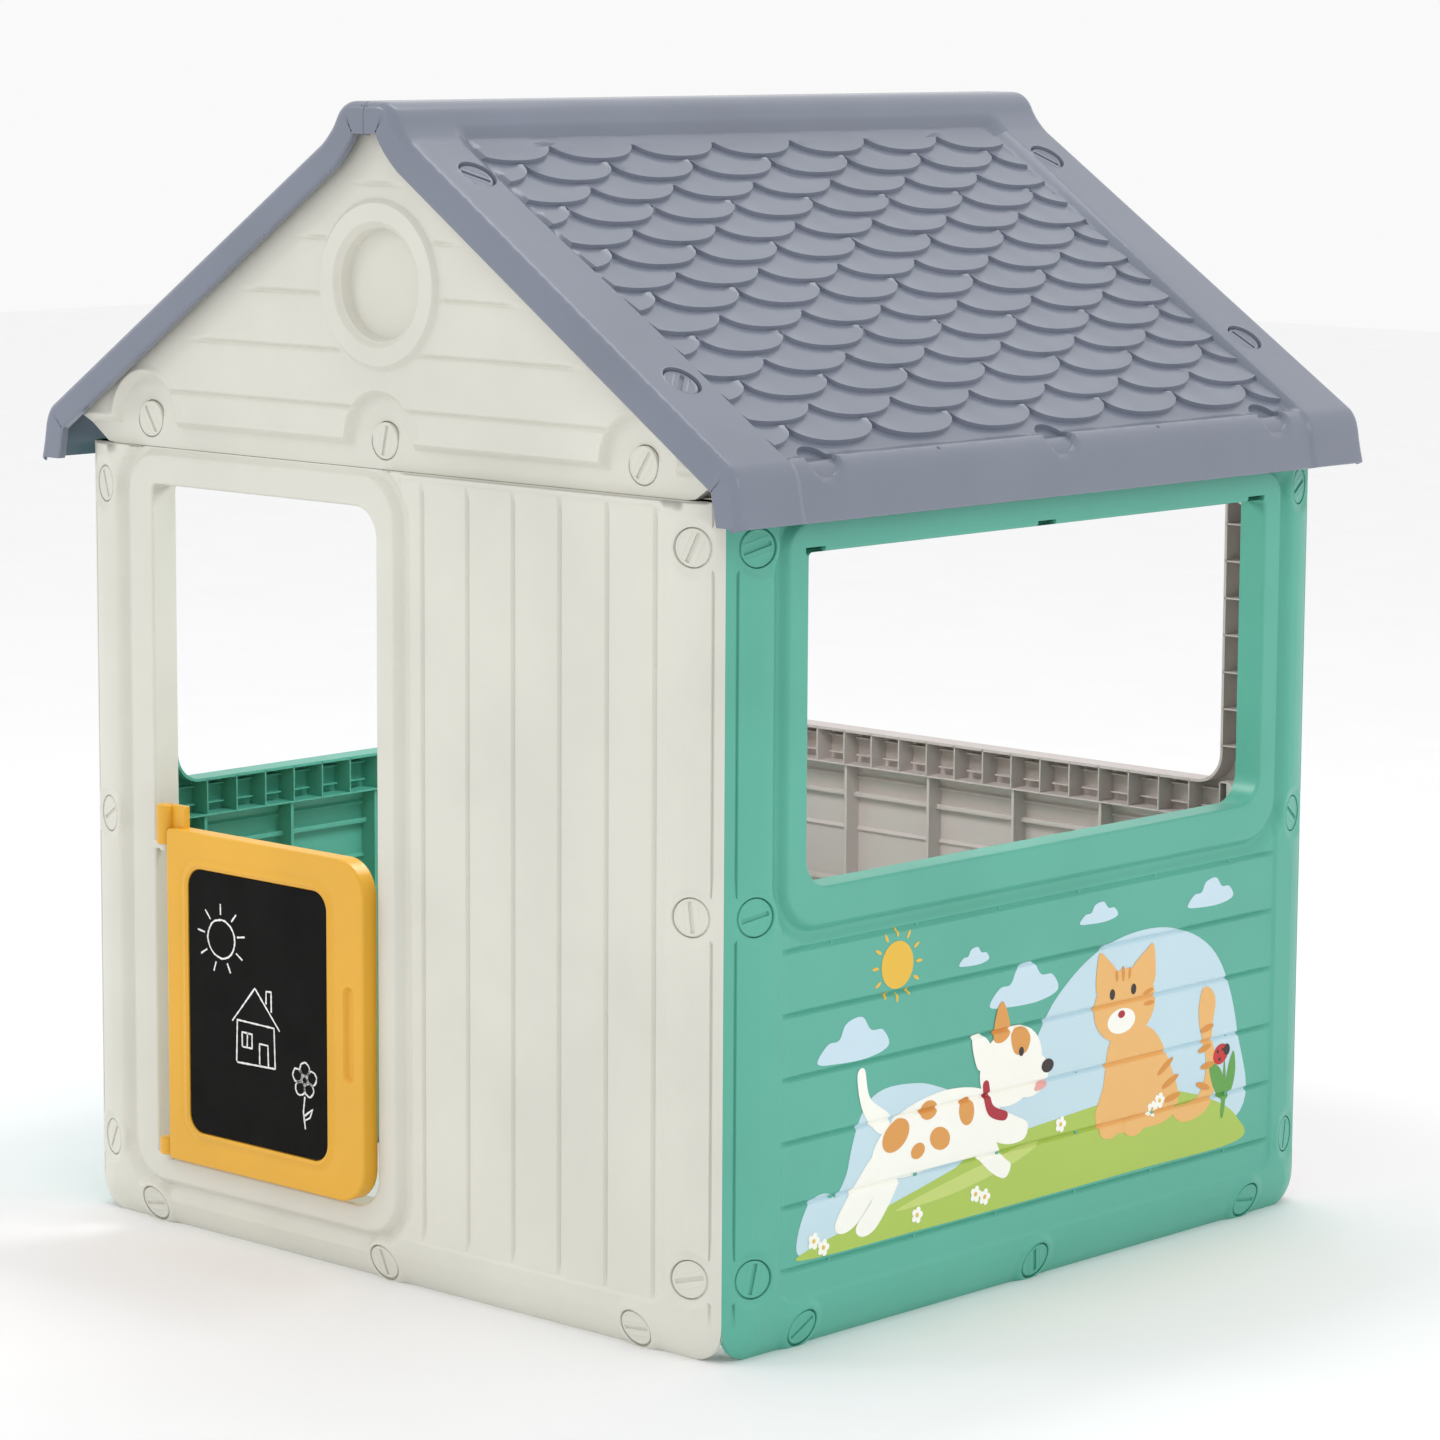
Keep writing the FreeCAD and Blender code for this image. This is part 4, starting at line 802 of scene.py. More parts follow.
PROFILE = roof_profile()
LENGTHS = [0.0]
for before, after in zip(PROFILE, PROFILE[1:]):
    LENGTHS.append(LENGTHS[-1] + (after - before).length)
ROOF_RUN = LENGTHS[-1]


def profile_at(u):
    """Point and outward normal of the profile at a distance from the ridge seam."""
    u = min(max(u, 0.0), ROOF_RUN)
    i = min(max(bisect.bisect_right(LENGTHS, u) - 1, 0), len(LENGTHS) - 2)
    t = (u - LENGTHS[i]) / (LENGTHS[i + 1] - LENGTHS[i])

    def tangent(j):
        j = min(max(j, 1), len(PROFILE) - 2)
        return (PROFILE[j + 1] - PROFILE[j - 1]).normalized()

    way = tangent(i).lerp(tangent(i + 1), t).normalized()
    point = PROFILE[i].lerp(PROFILE[i + 1], t)
    return point, Vector((0, 1)) if point.x < RIDGE_HALF else Vector((-way.y, way.x))


def slope_place(u):
    """Distance down the slope line of the profile at u."""
    point = profile_at(u)[0]
    return (point - Vector((0, PEAK))).dot(ALONG)


def profile_run(slope):
    """Distance along the profile for a distance down the slope."""
    low, high = 0.0, ROOF_RUN
    for _ in range(40):
        middle = (low + high) / 2
        low, high = (middle, high) if slope_place(middle) < slope else (low, middle)
    return low


SLOPE_SHIFT = profile_run(0.3) - 0.3


def scallop(row, y):
    """Lower edge of a row of tiles, as a distance down the slope."""
    phase = (y / SCALLOP + (0.5 if row % 2 else 0.0)) % 1.0
    across = 2 * phase - 1
    return FIRST_ROW + (row - 1) * ROW_PITCH - SCALLOP_DEPTH * (1 - (1 - abs(across) ** 2.3) ** 0.5)


def tile_relief(slope, y):
    """How far the tiles stand over the sunk field."""
    for row in range(1, ROW_COUNT + 1):
        low = scallop(row, y)
        if slope < low:
            high = scallop(row - 1, y) if row > 1 else 60 * MM
            return TILE * (0.12 + 0.88 * min(max((slope - high) / (low - high), 0), 1))
    return 0.0


RAKE, EAVE = 0, 1
ROOF_POCKETS = [(RAKE, x, side * (ROOF_END - 60 * MM)) for x in (120 * MM, 433 * MM) for side in (-1, 1)]
ROOF_POCKETS += [(EAVE, 545 * MM, i * 400 * MM) for i in (-1, 0, 1)]
POCKET_RADIUS = 22.8 * MM
POCKET_DROP = {RAKE: 2.5 * MM, EAVE: 16 * MM}
POCKET_RINGS = {RAKE: (22.4, 23.2, 24.6), EAVE: (22.4, 23.2, 26, 29, 32, 36, 40)}
PIN_DOTS = (-210 * MM, 180 * MM)
PIN_SLOPE = 0.664
CREASE = 0.66


def field_drop(u, slope):
    """How far the shingle field lies below the roof line, easing up past the crease of the eave."""
    return FIELD_DROP * smooth((u - 66 * MM) / (18 * MM)) * (1 - 0.65 * smooth((slope - 0.648) / (12 * MM)))


def field_edge(slope):
    """Width of the wedge at each side of the field, narrower down the slope."""
    return mix(26 * MM, 10 * MM, smooth((slope - 0.15) / 0.35))


def roof_depth(u, y):
    slope = slope_place(u)
    out = (abs(y) - FIELD_HALF) / field_edge(slope)
    depth = field_drop(u, slope) * (1 - smooth(out))
    if abs(y) < FIELD_HALF and slope > SLOPE_START:
        depth -= tile_relief(slope, y) * smooth((u - 72 * MM) / (10 * MM))
    return depth + fillet(ROOF_END - abs(y), END_ROUND)


def roof_point(u, y, depth):
    point, normal = profile_at(u)
    spot = point - normal * depth
    return Vector((spot.x, y, spot.y))


def pocket_plane(kind, x):
    """Slope distance and depth of a pocket's floor below the slope line."""
    return x / math.cos(PITCH), POCKET_DROP[kind]


def pocket_loop(x, y, radius):
    slope = x / math.cos(PITCH)
    return [(profile_run(slope + radius * math.cos(a)), y + radius * math.sin(a)) for a in turns(40)]


def roof_net():
    loops = []
    for kind, x, y in ROOF_POCKETS:
        loops += [pocket_loop(x, y, r * MM) for r in POCKET_RINGS[kind]]
    for y in PIN_DOTS:
        for r in (1.8, 2.6):
            loops.append([(PIN_SLOPE + SLOPE_SHIFT + a, y + b) for a, b in circle(0, 0, r * MM, 12)])
    crease = [CREASE + off * MM + SLOPE_SHIFT for off in (-17, -13, -9, -5, 0)]
    lines = [divide([(u, -ROOF_END), (u, ROOF_END)], 20 * MM) for u in LENGTHS + crease]
    for inset in (0, 0.6, 2, 4.5, 8, 11):
        for side in (-1, 1):
            y = side * (ROOF_END - inset * MM)
            lines.append(divide([(0, y), (ROOF_RUN, y)], 15 * MM))
    for k in range(7):
        for side in (-1, 1):
            chain = []
            for i in range(41):
                u = mix(60 * MM, ROOF_RUN, i / 40)
                chain.append((u, side * (FIELD_HALF + field_edge(slope_place(u)) * k / 6)))
            lines.append(chain)
    for row in range(1, ROW_COUNT + 1):
        for off in (-1.6, -0.5, 0.35):
            across = [mix(-FIELD_HALF, FIELD_HALF, i / 220) for i in range(221)]
            lines.append([(scallop(row, y) + off * MM + SLOPE_SHIFT, y) for y in across])

    def keep(u, y):
        return 0 <= u <= ROOF_RUN and abs(y) <= ROOF_END

    def loose(u, y):
        return 80 * MM < u < ROOF_RUN - 45 * MM and abs(y) < FIELD_HALF - 6 * MM

    return triangulate(loops, lines, (0, ROOF_RUN, -ROOF_END, ROOF_END), 15 * MM, keep, loose)


def roof_surface(u, y):
    """The finished outer surface, with screw pockets sunk into it."""
    slope = slope_place(u)
    if min(math.hypot(slope - PIN_SLOPE, y - dot) for dot in PIN_DOTS) < 2.2 * MM:
        return roof_point(u, y, 5 * MM)
    for kind, x, y0 in ROOF_POCKETS:
        middle, floor = pocket_plane(kind, x)
        r = math.hypot(slope - middle, y - y0)
        if r < POCKET_RADIUS:
            spot = Vector((0, PEAK)) + ALONG * slope - OUT * (floor + 5 * MM)
            return Vector((spot.x, y, spot.y))
        if kind == RAKE and r < 24 * MM:
            return roof_point(u, y, roof_depth(u, y) - 0.5 * MM)
        lip = 23 * MM + 16 * MM * max(slope - middle, 0) / max(r, 1e-6)
        if kind == EAVE and r < lip:
            sunk = smooth((lip - r) / (lip - POCKET_RADIUS)) * 9 * MM
            return roof_point(u, y, roof_depth(u, y) + sunk)
    return roof_point(u, y, roof_depth(u, y))


def build_roof():
    flat, faces = roof_net()
    outer = [roof_surface(u, y) for u, y in flat]
    under = []
    for u, y in flat:
        side = min(abs(y), ROOF_END - END_ROUND) / max(abs(y), 1e-6) * y
        field = field_drop(u, slope_place(u)) * (1 - smooth((abs(y) - FIELD_HALF) / (20 * MM)))
        under.append(roof_point(u, side, field + SKIN + 2 * MM))
    steps = sorted({u for u, y in flat if y > ROOF_END - 1e-6})
    eave = sorted({y for u, y in flat if u > ROOF_RUN - 1e-6})
    seam = sorted({y for u, y in flat if u < 1e-6})
    for name, yaw in (("right", 0), ("left", 180)):
        turn = Matrix.Rotation(math.radians(yaw), 4, "Z")
        mesh = Mesh()
        mesh.add([turn @ p for p in outer], faces)
        mesh.add([turn @ p for p in under], faces)
        for side in (-1, 1):
            rows = []
            for inset, depth in ((0, 11), (0, 34), (1.5, 36), (10, 36), (12, 34), (12, 5)):
                row = []
                for u in steps:
                    point = roof_point(u, side * (ROOF_END - inset * MM), depth * MM)
                    point.x = max(point.x, 0.3 * MM)
                    point.z = max(point.z, ROOF_LOW + 0.5 * MM)
                    row.append(turn @ point)
                rows.append(row)
            mesh.strip(rows, False)
        rows = []
        for depth, drop in ((0, 0), (0.6, 1.6), (2, 2), (4.5, 1.6), (6, -3)):
            row = []
            for y in eave:
                point = roof_point(ROOF_RUN, y, roof_depth(ROOF_RUN, y) + depth * MM)
                point.z -= drop * MM
                row.append(turn @ point)
            rows.append(row)
        mesh.strip(rows, False)
        web = [[turn @ roof_point(0, y, roof_depth(0, y)) for y in seam]]
        ends = [min(max(y, -ROOF_END + 1 * MM), ROOF_END - 1 * MM) for y in seam]
        for x, down in ((0.3, 34), (4.3, 34), (4.3, 4)):
            web.append([turn @ Vector((x * MM, y, ROOF_TOP - down * MM)) for y in ends])
        mesh.strip(web, False)
        mesh.piece(f"roof_{name}_moulding", "house", "grey_plastic", GREY, (f"roof_{name}",), 32)

        heads = Mesh()
        for kind, x, y in ROOF_POCKETS:
            slope, floor = pocket_plane(kind, x)
            spot = Vector((0, PEAK)) + ALONG * slope - OUT * floor
            place = turn @ Vector((spot.x, y, spot.y))
            add_screw(heads, place, turn.to_3x3() @ Vector((OUT.x, 0, OUT.y)))
        heads.piece(f"roof_{name}_screw_heads", "house", "grey_plastic", GREY,
                    (f"roof_{name}_screws",), 30)


# ---------------------------------------------------------------- door

DOOR_LOW, DOOR_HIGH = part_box("door_panel")
LEAF_TOP = 492 * MM
LEAF = Rounded(-352 * MM, DOOR_HIGH[0], DOOR_LOW[2], LEAF_TOP, [6 * MM, 42 * MM, 42 * MM, 6 * MM])
BOARD_LOW, BOARD_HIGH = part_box("door_blackboard")
PANEL = Rounded(BOARD_LOW[0], BOARD_HIGH[0], BOARD_LOW[2], BOARD_HIGH[2], 22 * MM)
GRIP = plate(-44, -26, 232, 345, 9, 9, 9, 9)
KNUCKLES = ((471 * MM, 518 * MM), (93.8 * MM, 113.8 * MM))
BACK_RIB = 2.5 * MM
BACK_INSET = 6 * MM
LEAF_THICK = DOOR_HIGH[1] - DOOR_LOW[1]


def leaf_depth(x, z):
    out = PANEL.distance(x, z)
    depth = fillet(-LEAF.distance(x, z), 3.5 * MM)
    depth -= 1.6 * MM * bump((out - 5 * MM) / (3.5 * MM))
    depth += 1.0 * MM * bump((out - 13 * MM) / (4 * MM))
    if out < 1 * MM:
        depth += 3 * MM
    hollow = -GRIP.distance(x, z)
    if hollow > 0:
        depth += 5.5 * MM * smooth(hollow / (5 * MM))
    return depth


def leaf_place(x, depth, z):
    return Vector((x, DOOR_LOW[1] + depth, z))


def build_door():
    loops = [LEAF.loop(-g * MM) for g in (0, 0.3, 1, 2, 3.5)]
    loops += [PANEL.loop(g * MM) for g in (0.8, 1.2, 2.2, 3.6, 5, 6.4, 8.5, 11, 13, 15, 17)]
    loops += [GRIP.loop(-g * MM) for g in (0, 2, 4, 6, 7.5)]
    flat, faces = triangulate(loops, [], (LEAF.left, LEAF.right, LEAF.low, LEAF.high), 14 * MM,
                              lambda x, z: LEAF.distance(x, z) < 0)
    mesh = Mesh()
    mesh.add([leaf_place(x, leaf_depth(x, z), z) for x, z in flat], faces)
    mesh.add([leaf_place(x, max(leaf_depth(x, z), 3 * MM) + 3 * MM, z) for x, z in flat], faces)
    rows = []
    back = LEAF_THICK
    for grow, depth in ((0, 3.5 * MM), (0, back - 1 * MM), (-1 * MM, back), (-7 * MM, back),
                        (-8 * MM, back - 1 * MM), (-8 * MM, 6 * MM)):
        rows.append([leaf_place(x, depth, z) for x, z in LEAF.loop(grow)])
    mesh.strip(rows, True)
    near, far = DOOR_LOW[1] + BACK_INSET, DOOR_HIGH[1] - 4 * MM
    for i in range(1, 4):
        z = mix(LEAF.low, LEAF.high, i / 4)
        mesh.box((LEAF.left + BACK_INSET, near, z), (LEAF.right - BACK_INSET, far, z + BACK_RIB))
        x = mix(LEAF.left, LEAF.right, i / 4)
        mesh.box((x, near, LEAF.low + BACK_INSET), (x + BACK_RIB, far, LEAF.high - BACK_INSET))
    radius = 11 * MM
    bore = 5.4 * MM
    for low, high in KNUCKLES:
        axis = Matrix.Translation((DOOR_AXIS.x, DOOR_AXIS.y, low))
        tall = high - low
        turned = [(bore, tall - 5 * MM), (bore, 0), (radius - 1 * MM, 0), (radius, 1 * MM),
                  (radius, tall - 2.5 * MM), (radius - 0.8 * MM, tall - 0.8 * MM),
                  (radius - 2.5 * MM, tall), (0.2 * MM, tall)]
        mesh.lathe(turned, axis, 40)
        mesh.box((DOOR_AXIS.x + 5 * MM, DOOR_AXIS.y + 1 * MM, low),
                 (DOOR_AXIS.x + 33 * MM, DOOR_AXIS.y + 9.5 * MM, high))
    mesh.piece("door_leaf", "door", "yellow_plastic", YELLOW, ("door_panel",))

    sheet = Mesh()
    rim = [(PANEL.loop(0), 1.6 * MM), (PANEL.loop(0), 1.0 * MM), (PANEL.loop(-0.6 * MM), 0.5 * MM)]
    sheet.strip([[leaf_place(x, d, z) for x, z in ring] for ring, d in rim], True)
    flat, faces = triangulate([PANEL.loop(-0.6 * MM)], [], (PANEL.left, PANEL.right, PANEL.low, PANEL.high),
                              18 * MM, lambda x, z: PANEL.distance(x, z) < -0.6 * MM)
    sheet.add([leaf_place(x, 0.5 * MM, z) for x, z in flat], faces)
    sheet.piece("blackboard_sheet", "door", "blackboard", BOARD, ("door_blackboard",))


# ---------------------------------------------------------------- chalk drawing

def stroke(mesh, points, width, place):
    """A slightly uneven flat line of chalk along points."""
    line = divide(points, 3 * MM)
    left, right = [], []
    for i, (x, z) in enumerate(line):
        x0, z0 = line[max(i - 1, 0)]
        x1, z1 = line[min(i + 1, len(line) - 1)]
        length = math.hypot(x1 - x0, z1 - z0) or 1
        nx, nz = -(z1 - z0) / length, (x1 - x0) / length
        half = width / 2 * (0.75 + 0.5 * CHALK_DICE.random())
        left.append(place(x + nx * half, 0.28 * MM, z + nz * half))
        right.append(place(x - nx * half, 0.28 * MM, z - nz * half))
    mesh.strip([left, right], False)


CHALK_DICE = random.Random(3)


def build_drawing():
    """A plain child's drawing: a sun, a little house and a flower."""
    mesh = Mesh()
    wide = 2.2 * MM
    cx = (PANEL.left + PANEL.right) / 2

    def draw(points):
        shaken = [(x + CHALK_DICE.uniform(-0.6, 0.6) * MM, z + CHALK_DICE.uniform(-0.6, 0.6) * MM)
                  for x, z in points]
        stroke(mesh, shaken, wide, leaf_place)

    def ring(x, z, rx, rz):
        angles = [2 * math.pi * (i / 24) for i in range(25)]
        draw([(x + rx * math.cos(a), z + rz * math.sin(a)) for a in angles])

    def sketch(x, z, *points):
        draw([(x + a * MM, z + b * MM) for a, b in points])

    x, z = cx - 62 * MM, PANEL.high - 78 * MM
    ring(x, z, 24 * MM, 23 * MM)
    for a in turns(9, 0.2):
        sketch(x, z, *[(r * math.cos(a), r * math.sin(a)) for r in (29, 42)])
    x, z = cx - 2 * MM, PANEL.low + 96 * MM
    sketch(x, z, (-34, 0), (-33, 50), (31, 49), (33, 2), (-34, 0))
    sketch(x, z, (-42, 48), (-2, 92), (41, 47))
    sketch(x, z, (6, 2), (6, 27), (21, 27), (21, 2))
    sketch(x, z, (-24, 20), (-24, 37), (-7, 37), (-7, 20), (-24, 20))
    sketch(x, z, (-15.5, 37), (-15.5, 20))
    sketch(x, z, (18, 76), (18, 92), (27, 92), (27, 68))
    x, z = cx + 82 * MM, PANEL.low + 92 * MM
    for a in turns(5, 0.3):
        ring(x + 13 * MM * math.cos(a), z + 13 * MM * math.sin(a), 8 * MM, 8 * MM)
    ring(x, z, 5 * MM, 5 * MM)
    sketch(x, z, (0, -20), (-2, -38), (1, -58))
    sketch(x, z, (0, -42), (13, -32), (9, -43), (0, -48))
    mesh.piece("chalk_drawing", "door", "picture_film", CHALK)


# ---------------------------------------------------------------- picture on the right wall

def closed_curve(points, count=10):
    """A smooth closed line through points."""
    out = []
    n = len(points)
    for i in range(n):
        p0, p1, p2, p3 = (Vector(points[(i + k - 1) % n]) for k in range(4))
        for j in range(count):
            t = j / count
            p = 0.5 * (2 * p1 + (p2 - p0) * t + (2 * p0 - 5 * p1 + 4 * p2 - p3) * t ** 2
                       + (3 * p1 - p0 - 3 * p2 + p3) * t ** 3)
            out.append((p.x, p.y))
    return out


def blob(*points):
    """A smooth closed shape through points given in millimetres."""
    return closed_curve([(x * MM, z * MM) for x, z in points])


def oval(cx, cz, rx, rz, tilt=0.0, count=36):
    c, s = math.cos(math.radians(tilt)), math.sin(math.radians(tilt))
    return [(cx + rx * math.cos(a) * c - rz * math.sin(a) * s,
             cz + rx * math.cos(a) * s + rz * math.sin(a) * c) for a in turns(count)]


def spot(cx, cz, rx, rz, tilt=0.0, count=36):
    """An oval given in millimetres."""
    return oval(cx * MM, cz * MM, rx * MM, rz * MM, tilt, count)


FILM = 0.12 * MM


def film(mesh, outline, layer, order):
    """One printed colour, laid on the boards of the right wall and following them."""
    xs = [p[0] for p in outline]
    zs = [p[1] for p in outline]
    lines = []
    for board in RIGHT.boards:
        for off in BOARD_OFFSETS:
            z = board + off * MM
            if min(zs) < z < max(zs):
                lines.append([(min(xs) - 1 * MM, z), (max(xs) + 1 * MM, z)])
    flat, faces = triangulate([outline], lines, (min(xs), max(xs), min(zs), max(zs)), 14 * MM,
                              lambda x, z: inside_polygon(outline, x, z))
    used = sorted({i for f in faces for i in f})
    renumber = {old: new for new, old in enumerate(used)}
    lift = 0.25 * MM + FILM * (layer + order % 7 / 8)
    mesh.add([RIGHT.place(flat[i][0], RIGHT.depth(*flat[i]) - lift, flat[i][1]) for i in used],
             [tuple(renumber[i] for i in f) for f in faces])


CLOUD = ((-0.5, -0.3), (-0.36, 0.05), (-0.2, 0.1), (-0.1, 0.42), (0.12, 0.5), (0.25, 0.18), (0.42, 0.12),
         (0.5, -0.25), (0.2, -0.42), (-0.25, -0.4))


def cloud(cx, cz, width, height):
    return closed_curve([(cx * MM + width * MM * a, cz * MM + height * MM * b) for a, b in CLOUD])


PRINTS = {
    "sky": (200, 226, 236), "hill": (176, 202, 88), "hill_light": (200, 216, 120), "sun": (236, 190, 62),
    "cloud": (204, 228, 240), "puppy": (255, 253, 244), "patch": (226, 158, 78), "collar": (176, 30, 50),
    "kitten": (240, 186, 112), "stripe": (222, 148, 60), "leaf": (96, 164, 70), "beetle": (204, 40, 40),
    "dark": (50, 38, 36), "pink": (240, 170, 165)}


def picture_shapes():
    """Every printed shape as (colour, layer, outline), in wall coordinates."""
    shapes = [
        ("sky", 0, blob((-330, 112), (-332, 190), (-296, 262), (-215, 268), (-120, 240), (-40, 250),
            (30, 330), (120, 378), (235, 384), (330, 340), (376, 240), (374, 130), (100, 112))),
        ("sky", 0, blob((-414, 108), (-398, 160), (-360, 166), (-330, 130), (-350, 104))),
        ("hill", 1, blob((-416, 101), (-300, 128), (-180, 152), (-60, 178), (40, 186), (140, 190),
            (240, 186), (330, 160), (378, 132), (380, 101), (180, 99), (0, 98), (-200, 98))),
        ("hill_light", 2, blob((-250, 128), (-120, 152), (0, 166), (-40, 148), (-150, 130))),
        ("sun", 0, spot(-252, 408, 27, 27)),
        ("cloud", 0, cloud(-325, 332, 118, 52)),
        ("cloud", 0, cloud(-120, 398, 52, 22)),
        ("cloud", 0, cloud(-30, 352, 122, 52)),
        ("cloud", 0, cloud(105, 418, 70, 26)),
        ("cloud", 0, cloud(318, 414, 88, 36)),
    ]
    shapes += sun_rays() + puppy() + kitten() + flowers()
    return shapes


def sun_rays():
    return [("sun", 0, spot(-252 + 37 * math.cos(a), 408 + 37 * math.sin(a), 5.5, 2, math.degrees(a), 14))
            for a in turns(12)]


def puppy():
    """A plain running puppy, nose towards the rear of the house."""
    parts = [
        ("puppy", 3, blob((-292, 196), (-250, 236), (-170, 252), (-96, 240), (-66, 200), (-96, 168),
            (-170, 166), (-250, 164))),
        ("puppy", 3, blob((-282, 200), (-322, 168), (-352, 132), (-344, 118), (-318, 124), (-286, 152),
            (-250, 172))),
        ("puppy", 3, blob((-270, 178), (-292, 146), (-318, 120), (-306, 108), (-280, 118), (-244, 166))),
        ("puppy", 3, blob((-98, 190), (-62, 172), (-28, 172), (-20, 188), (-34, 198), (-76, 212))),
        ("puppy", 3, blob((-118, 178), (-92, 148), (-62, 132), (-50, 146), (-66, 160), (-92, 196))),
        ("puppy", 3, blob((-278, 220), (-308, 250), (-318, 292), (-306, 298), (-296, 264), (-262, 238))),
        ("puppy", 4, spot(-52, 262, 56, 46, 12)),
        ("puppy", 4, spot(-18, 246, 34, 26, 0)),
        ("patch", 5, blob((-52, 300), (-30, 304), (-18, 290), (-26, 274), (-46, 276))),
        ("patch", 5, blob((-84, 298), (-78, 330), (-66, 338), (-54, 304), (-68, 292))),
        ("puppy", 5, blob((-112, 268), (-122, 302), (-108, 308), (-88, 290), (-96, 268))),
        ("collar", 5, blob((-102, 246), (-92, 212), (-64, 200), (-58, 209), (-84, 222), (-92, 250))),
        ("dark", 6, spot(14, 252, 11, 8)),
        ("dark", 6, spot(-34, 276, 4.5, 5.5)),
        ("pink", 6, spot(2, 230, 12, 4.5, 12)),
    ]
    for x, z, rx, rz, tilt in ((-252, 214, 24, 17, 25), (-196, 234, 15, 11, 0), (-176, 198, 18, 13, -20),
                               (-130, 222, 13, 17, 15), (-214, 190, 12, 9, 10)):
        parts.append(("patch", 4, spot(x, z, rx, rz, tilt)))
    return parts


def kitten():
    """A plain sitting kitten."""
    parts = [
        ("kitten", 3, blob((130, 262), (118, 210), (104, 176), (124, 152), (180, 148), (240, 150),
            (262, 174), (246, 216), (214, 262), (170, 276))),
        ("kitten", 3, blob((250, 162), (296, 166), (316, 204), (300, 262), (304, 296), (318, 300),
            (332, 282), (326, 240), (338, 196), (320, 152), (272, 142))),
        ("kitten", 4, spot(156, 302, 58, 44)),
        ("kitten", 4, blob((104, 322), (106, 368), (122, 362), (142, 338))),
        ("kitten", 4, blob((168, 340), (194, 362), (210, 366), (210, 320))),
        ("kitten", 4, spot(132, 158, 20, 13)),
        ("kitten", 4, spot(178, 154, 20, 13)),
        ("puppy", 5, spot(150, 284, 26, 15)),
        ("dark", 6, spot(132, 318, 5, 6.5)),
        ("dark", 6, spot(172, 319, 5, 6.5)),
        ("collar", 6, spot(150, 292, 6.5, 4.5)),
        ("stripe", 5, spot(152, 340, 3, 9)),
        ("stripe", 5, spot(164, 339, 2.6, 7, -8)),
        ("stripe", 5, spot(140, 339, 2.6, 7, 8)),
    ]
    for x, z, rx, rz, tilt in ((236, 216, 17, 4, 30), (246, 196, 17, 4, 20), (250, 176, 16, 4, 8),
                               (312, 226, 13, 4, 12), (318, 204, 13, 4, 5), (316, 250, 13, 4, 10),
                               (310, 180, 14, 4, -20), (200, 312, 10, 3, 12), (202, 298, 10, 3, 0)):
        parts.append(("stripe", 5, spot(x, z, rx, rz, tilt)))
    return parts


def flowers():
    parts = [
        ("leaf", 3, blob((350, 156), (330, 176), (322, 206), (344, 196), (354, 170))),
        ("leaf", 3, blob((352, 158), (360, 196), (370, 214), (374, 190), (366, 166))),
        ("leaf", 3, blob((346, 138), (349, 170), (352, 208), (356, 170), (352, 138))),
        ("beetle", 4, spot(344, 214, 15, 12, 20)),
        ("dark", 5, spot(356, 218, 6, 7)),
        ("dark", 5, spot(338, 218, 2.4, 2.4)),
        ("dark", 5, spot(342, 208, 2.4, 2.4)),
        ("dark", 5, spot(348, 219, 2.0, 2.0)),
    ]
    for cx, cz in ((-388, 118), (-372, 108), (-214, 116), (-112, 122), (-96, 116), (40, 178), (212, 168),
                   (226, 176)):
        for a in turns(5):
            parts.append(("puppy", 4, spot(cx + 6 * math.cos(a), cz + 6 * math.sin(a), 4, 4, 0, 12)))
        parts.append(("sun", 5, spot(cx, cz, 2.6, 2.6, 0, 12)))
    return parts


def build_picture():
    shapes = picture_shapes()
    replaced = ("right_wall_picture",)
    for colour, values in PRINTS.items():
        mesh = Mesh()
        for order, (name, layer, outline) in enumerate(shapes):
            if name == colour:
                film(mesh, outline, layer, order)
        material = print_colour(f"print_{colour}", *values)
        mesh.piece(f"picture_{colour}", "house", "picture_film", material, replaced, 60)
        replaced = ()


# ---------------------------------------------------------------- hidden fixings, floor, light, camera

def dress_hidden_parts():
    """The CAD nodes that stay as they are get a moulded finish."""
    for node, material in (("top_hinge_peg", CREAM), ("low_hinge_peg", CREAM)):
        dress(node, material)
    for node in frame["nodes"]:
        if node.endswith("_nuts") or node.endswith("_corner_blocks"):
            dress(node, INNER)


def dress(node, material):
    thing = bpy.data.objects[node]
    thing.data.materials.clear()
    thing.data.materials.append(material)


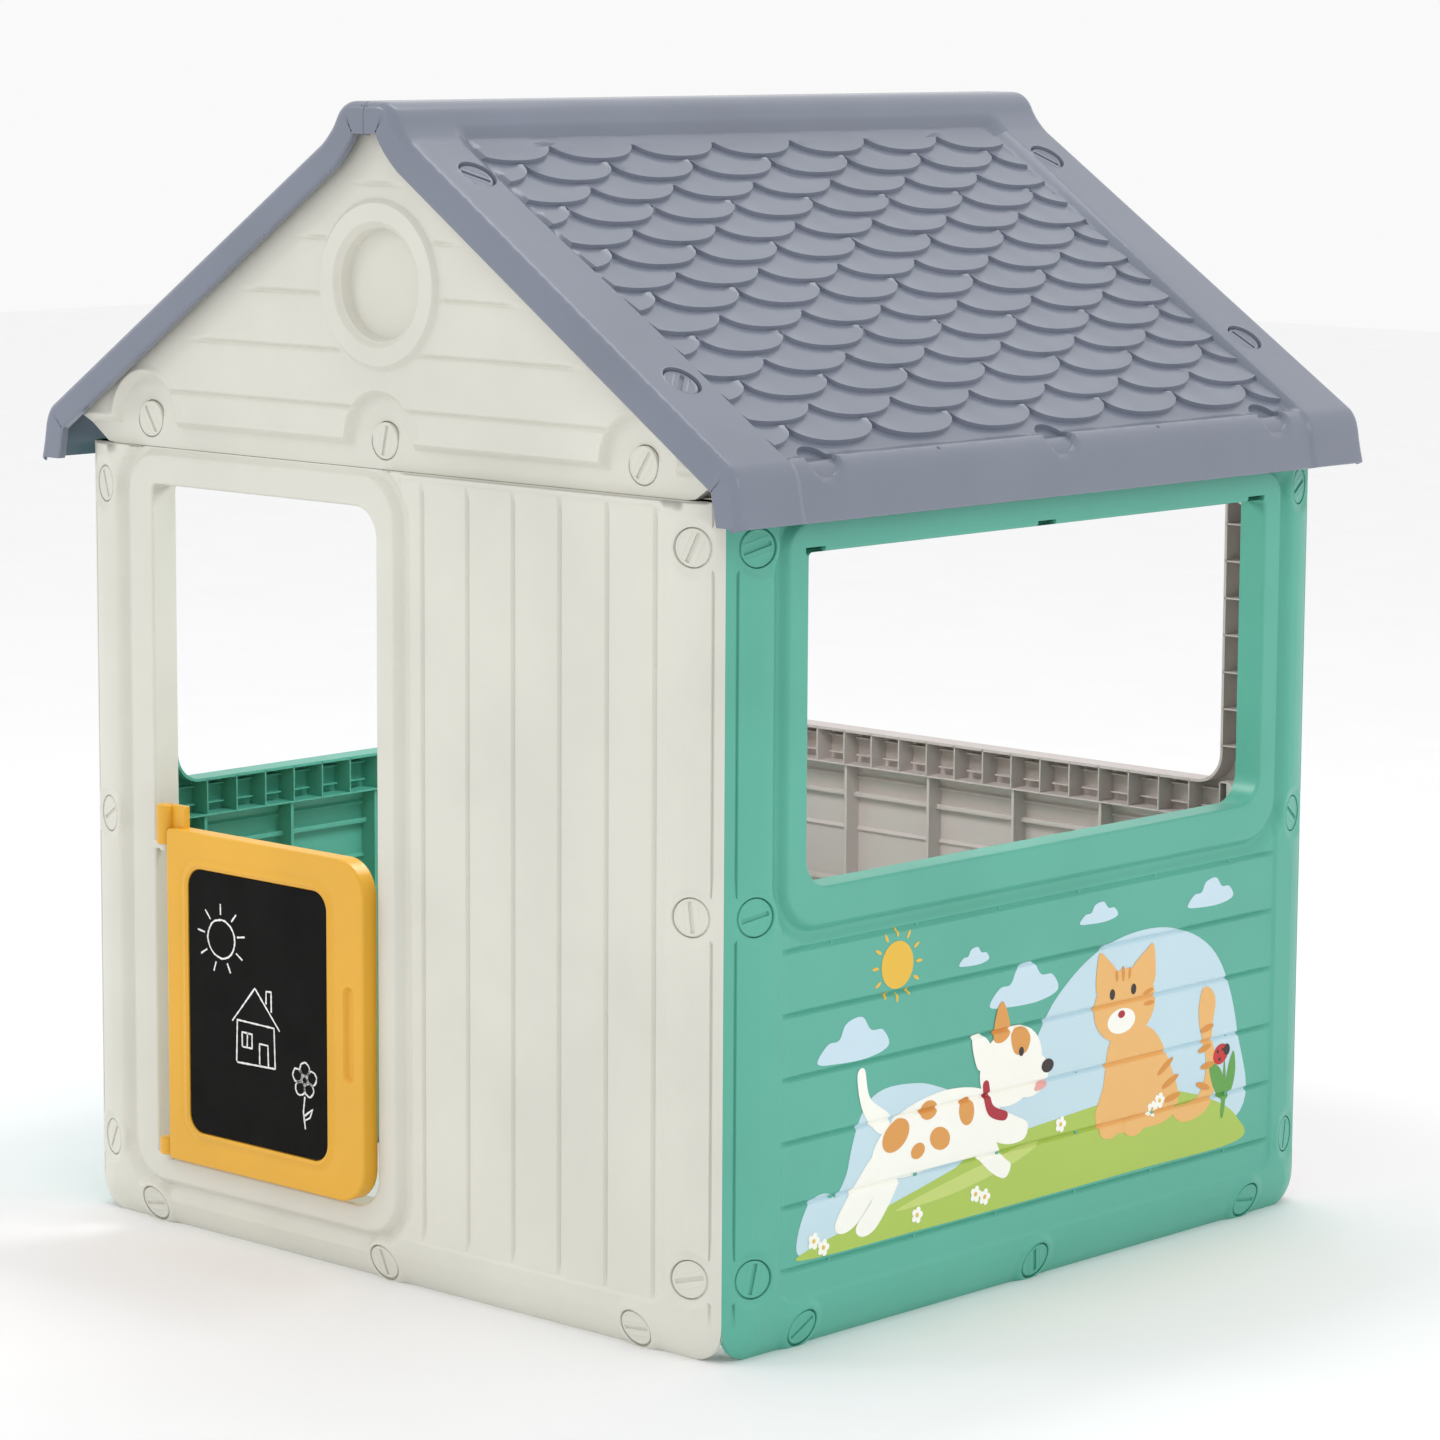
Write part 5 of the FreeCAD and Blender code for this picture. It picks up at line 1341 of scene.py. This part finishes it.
def stage():
    data = bpy.data.meshes.new("floor")
    size = 14.0
    corners = [(-size, -size, 0), (size, -size, 0), (size, size, 0), (-size, size, 0)]
    data.from_pydata(corners, [], [(0, 1, 2, 3)])
    floor = bpy.data.objects.new("floor", data)
    bpy.context.scene.collection.objects.link(floor)
    material = moulded("floor_paper", (0.96, 0.96, 0.97, 1), 0.8, grain=0.02, mottle=0.01)
    data.materials.append(material)
    world = bpy.data.worlds.new("studio")
    bpy.context.scene.world = world
    world.use_nodes = True
    world.node_tree.nodes["Background"].inputs["Color"].default_value = (1.0, 1.0, 1.0, 1)
    world.node_tree.nodes["Background"].inputs["Strength"].default_value = 0.95
    bpy.context.scene.view_settings.view_transform = "Standard"

    def area(name, place, aim, size, power):
        lamp = bpy.data.lights.new(name, "AREA")
        lamp.energy = power
        lamp.size = size
        thing = bpy.data.objects.new(name, lamp)
        bpy.context.scene.collection.objects.link(thing)
        thing.location = place
        thing.rotation_euler = (Vector(aim) - Vector(place)).to_track_quat("-Z", "Y").to_euler()

    area("key", (-3.2, -3.8, 4.2), (0, 0, 0.6), 1.4, 34)
    area("fill", (4.8, 0.4, 3.4), (0, 0, 0.6), 1.6, 16)
    area("top", (-0.5, 1.5, 5.0), (0, 0, 0.8), 2.0, 26)
    area("inside", (0, -0.1, 1.08), (0, 0, 0), 0.4, 6)


CAMERA_PLACE = (4.009, -4.2734, 1.4675)
CAMERA_TURN = (42.969, 8.418, 0.334)
SENSOR = 36
FOCAL_WIDTHS = 4872.3 / 1440


def camera():
    """The photograph's own view: yaw, pitch down and roll in degrees, focal length in picture widths."""
    data = bpy.data.cameras.new("camera")
    data.sensor_width = SENSOR
    data.lens = FOCAL_WIDTHS * SENSOR
    thing = bpy.data.objects.new("camera", data)
    bpy.context.scene.collection.objects.link(thing)
    yaw, pitch, roll = (math.radians(a) for a in CAMERA_TURN)
    forward = Vector((-math.sin(yaw) * math.cos(pitch), math.cos(yaw) * math.cos(pitch), -math.sin(pitch)))
    right = Vector((math.cos(yaw), math.sin(yaw), 0))
    up = right.cross(forward)
    side = right * math.cos(roll) + up * math.sin(roll)
    rise = up * math.cos(roll) - right * math.sin(roll)
    turn = Matrix((side, rise, -forward)).transposed().to_4x4()
    thing.matrix_world = Matrix.Translation(CAMERA_PLACE) @ turn
    bpy.context.scene.camera = thing


build_walls()
build_gables()
build_roof()
build_door()
build_drawing()
build_picture()
dress_hidden_parts()
stage()
camera()

bpy.context.view_layer.update()
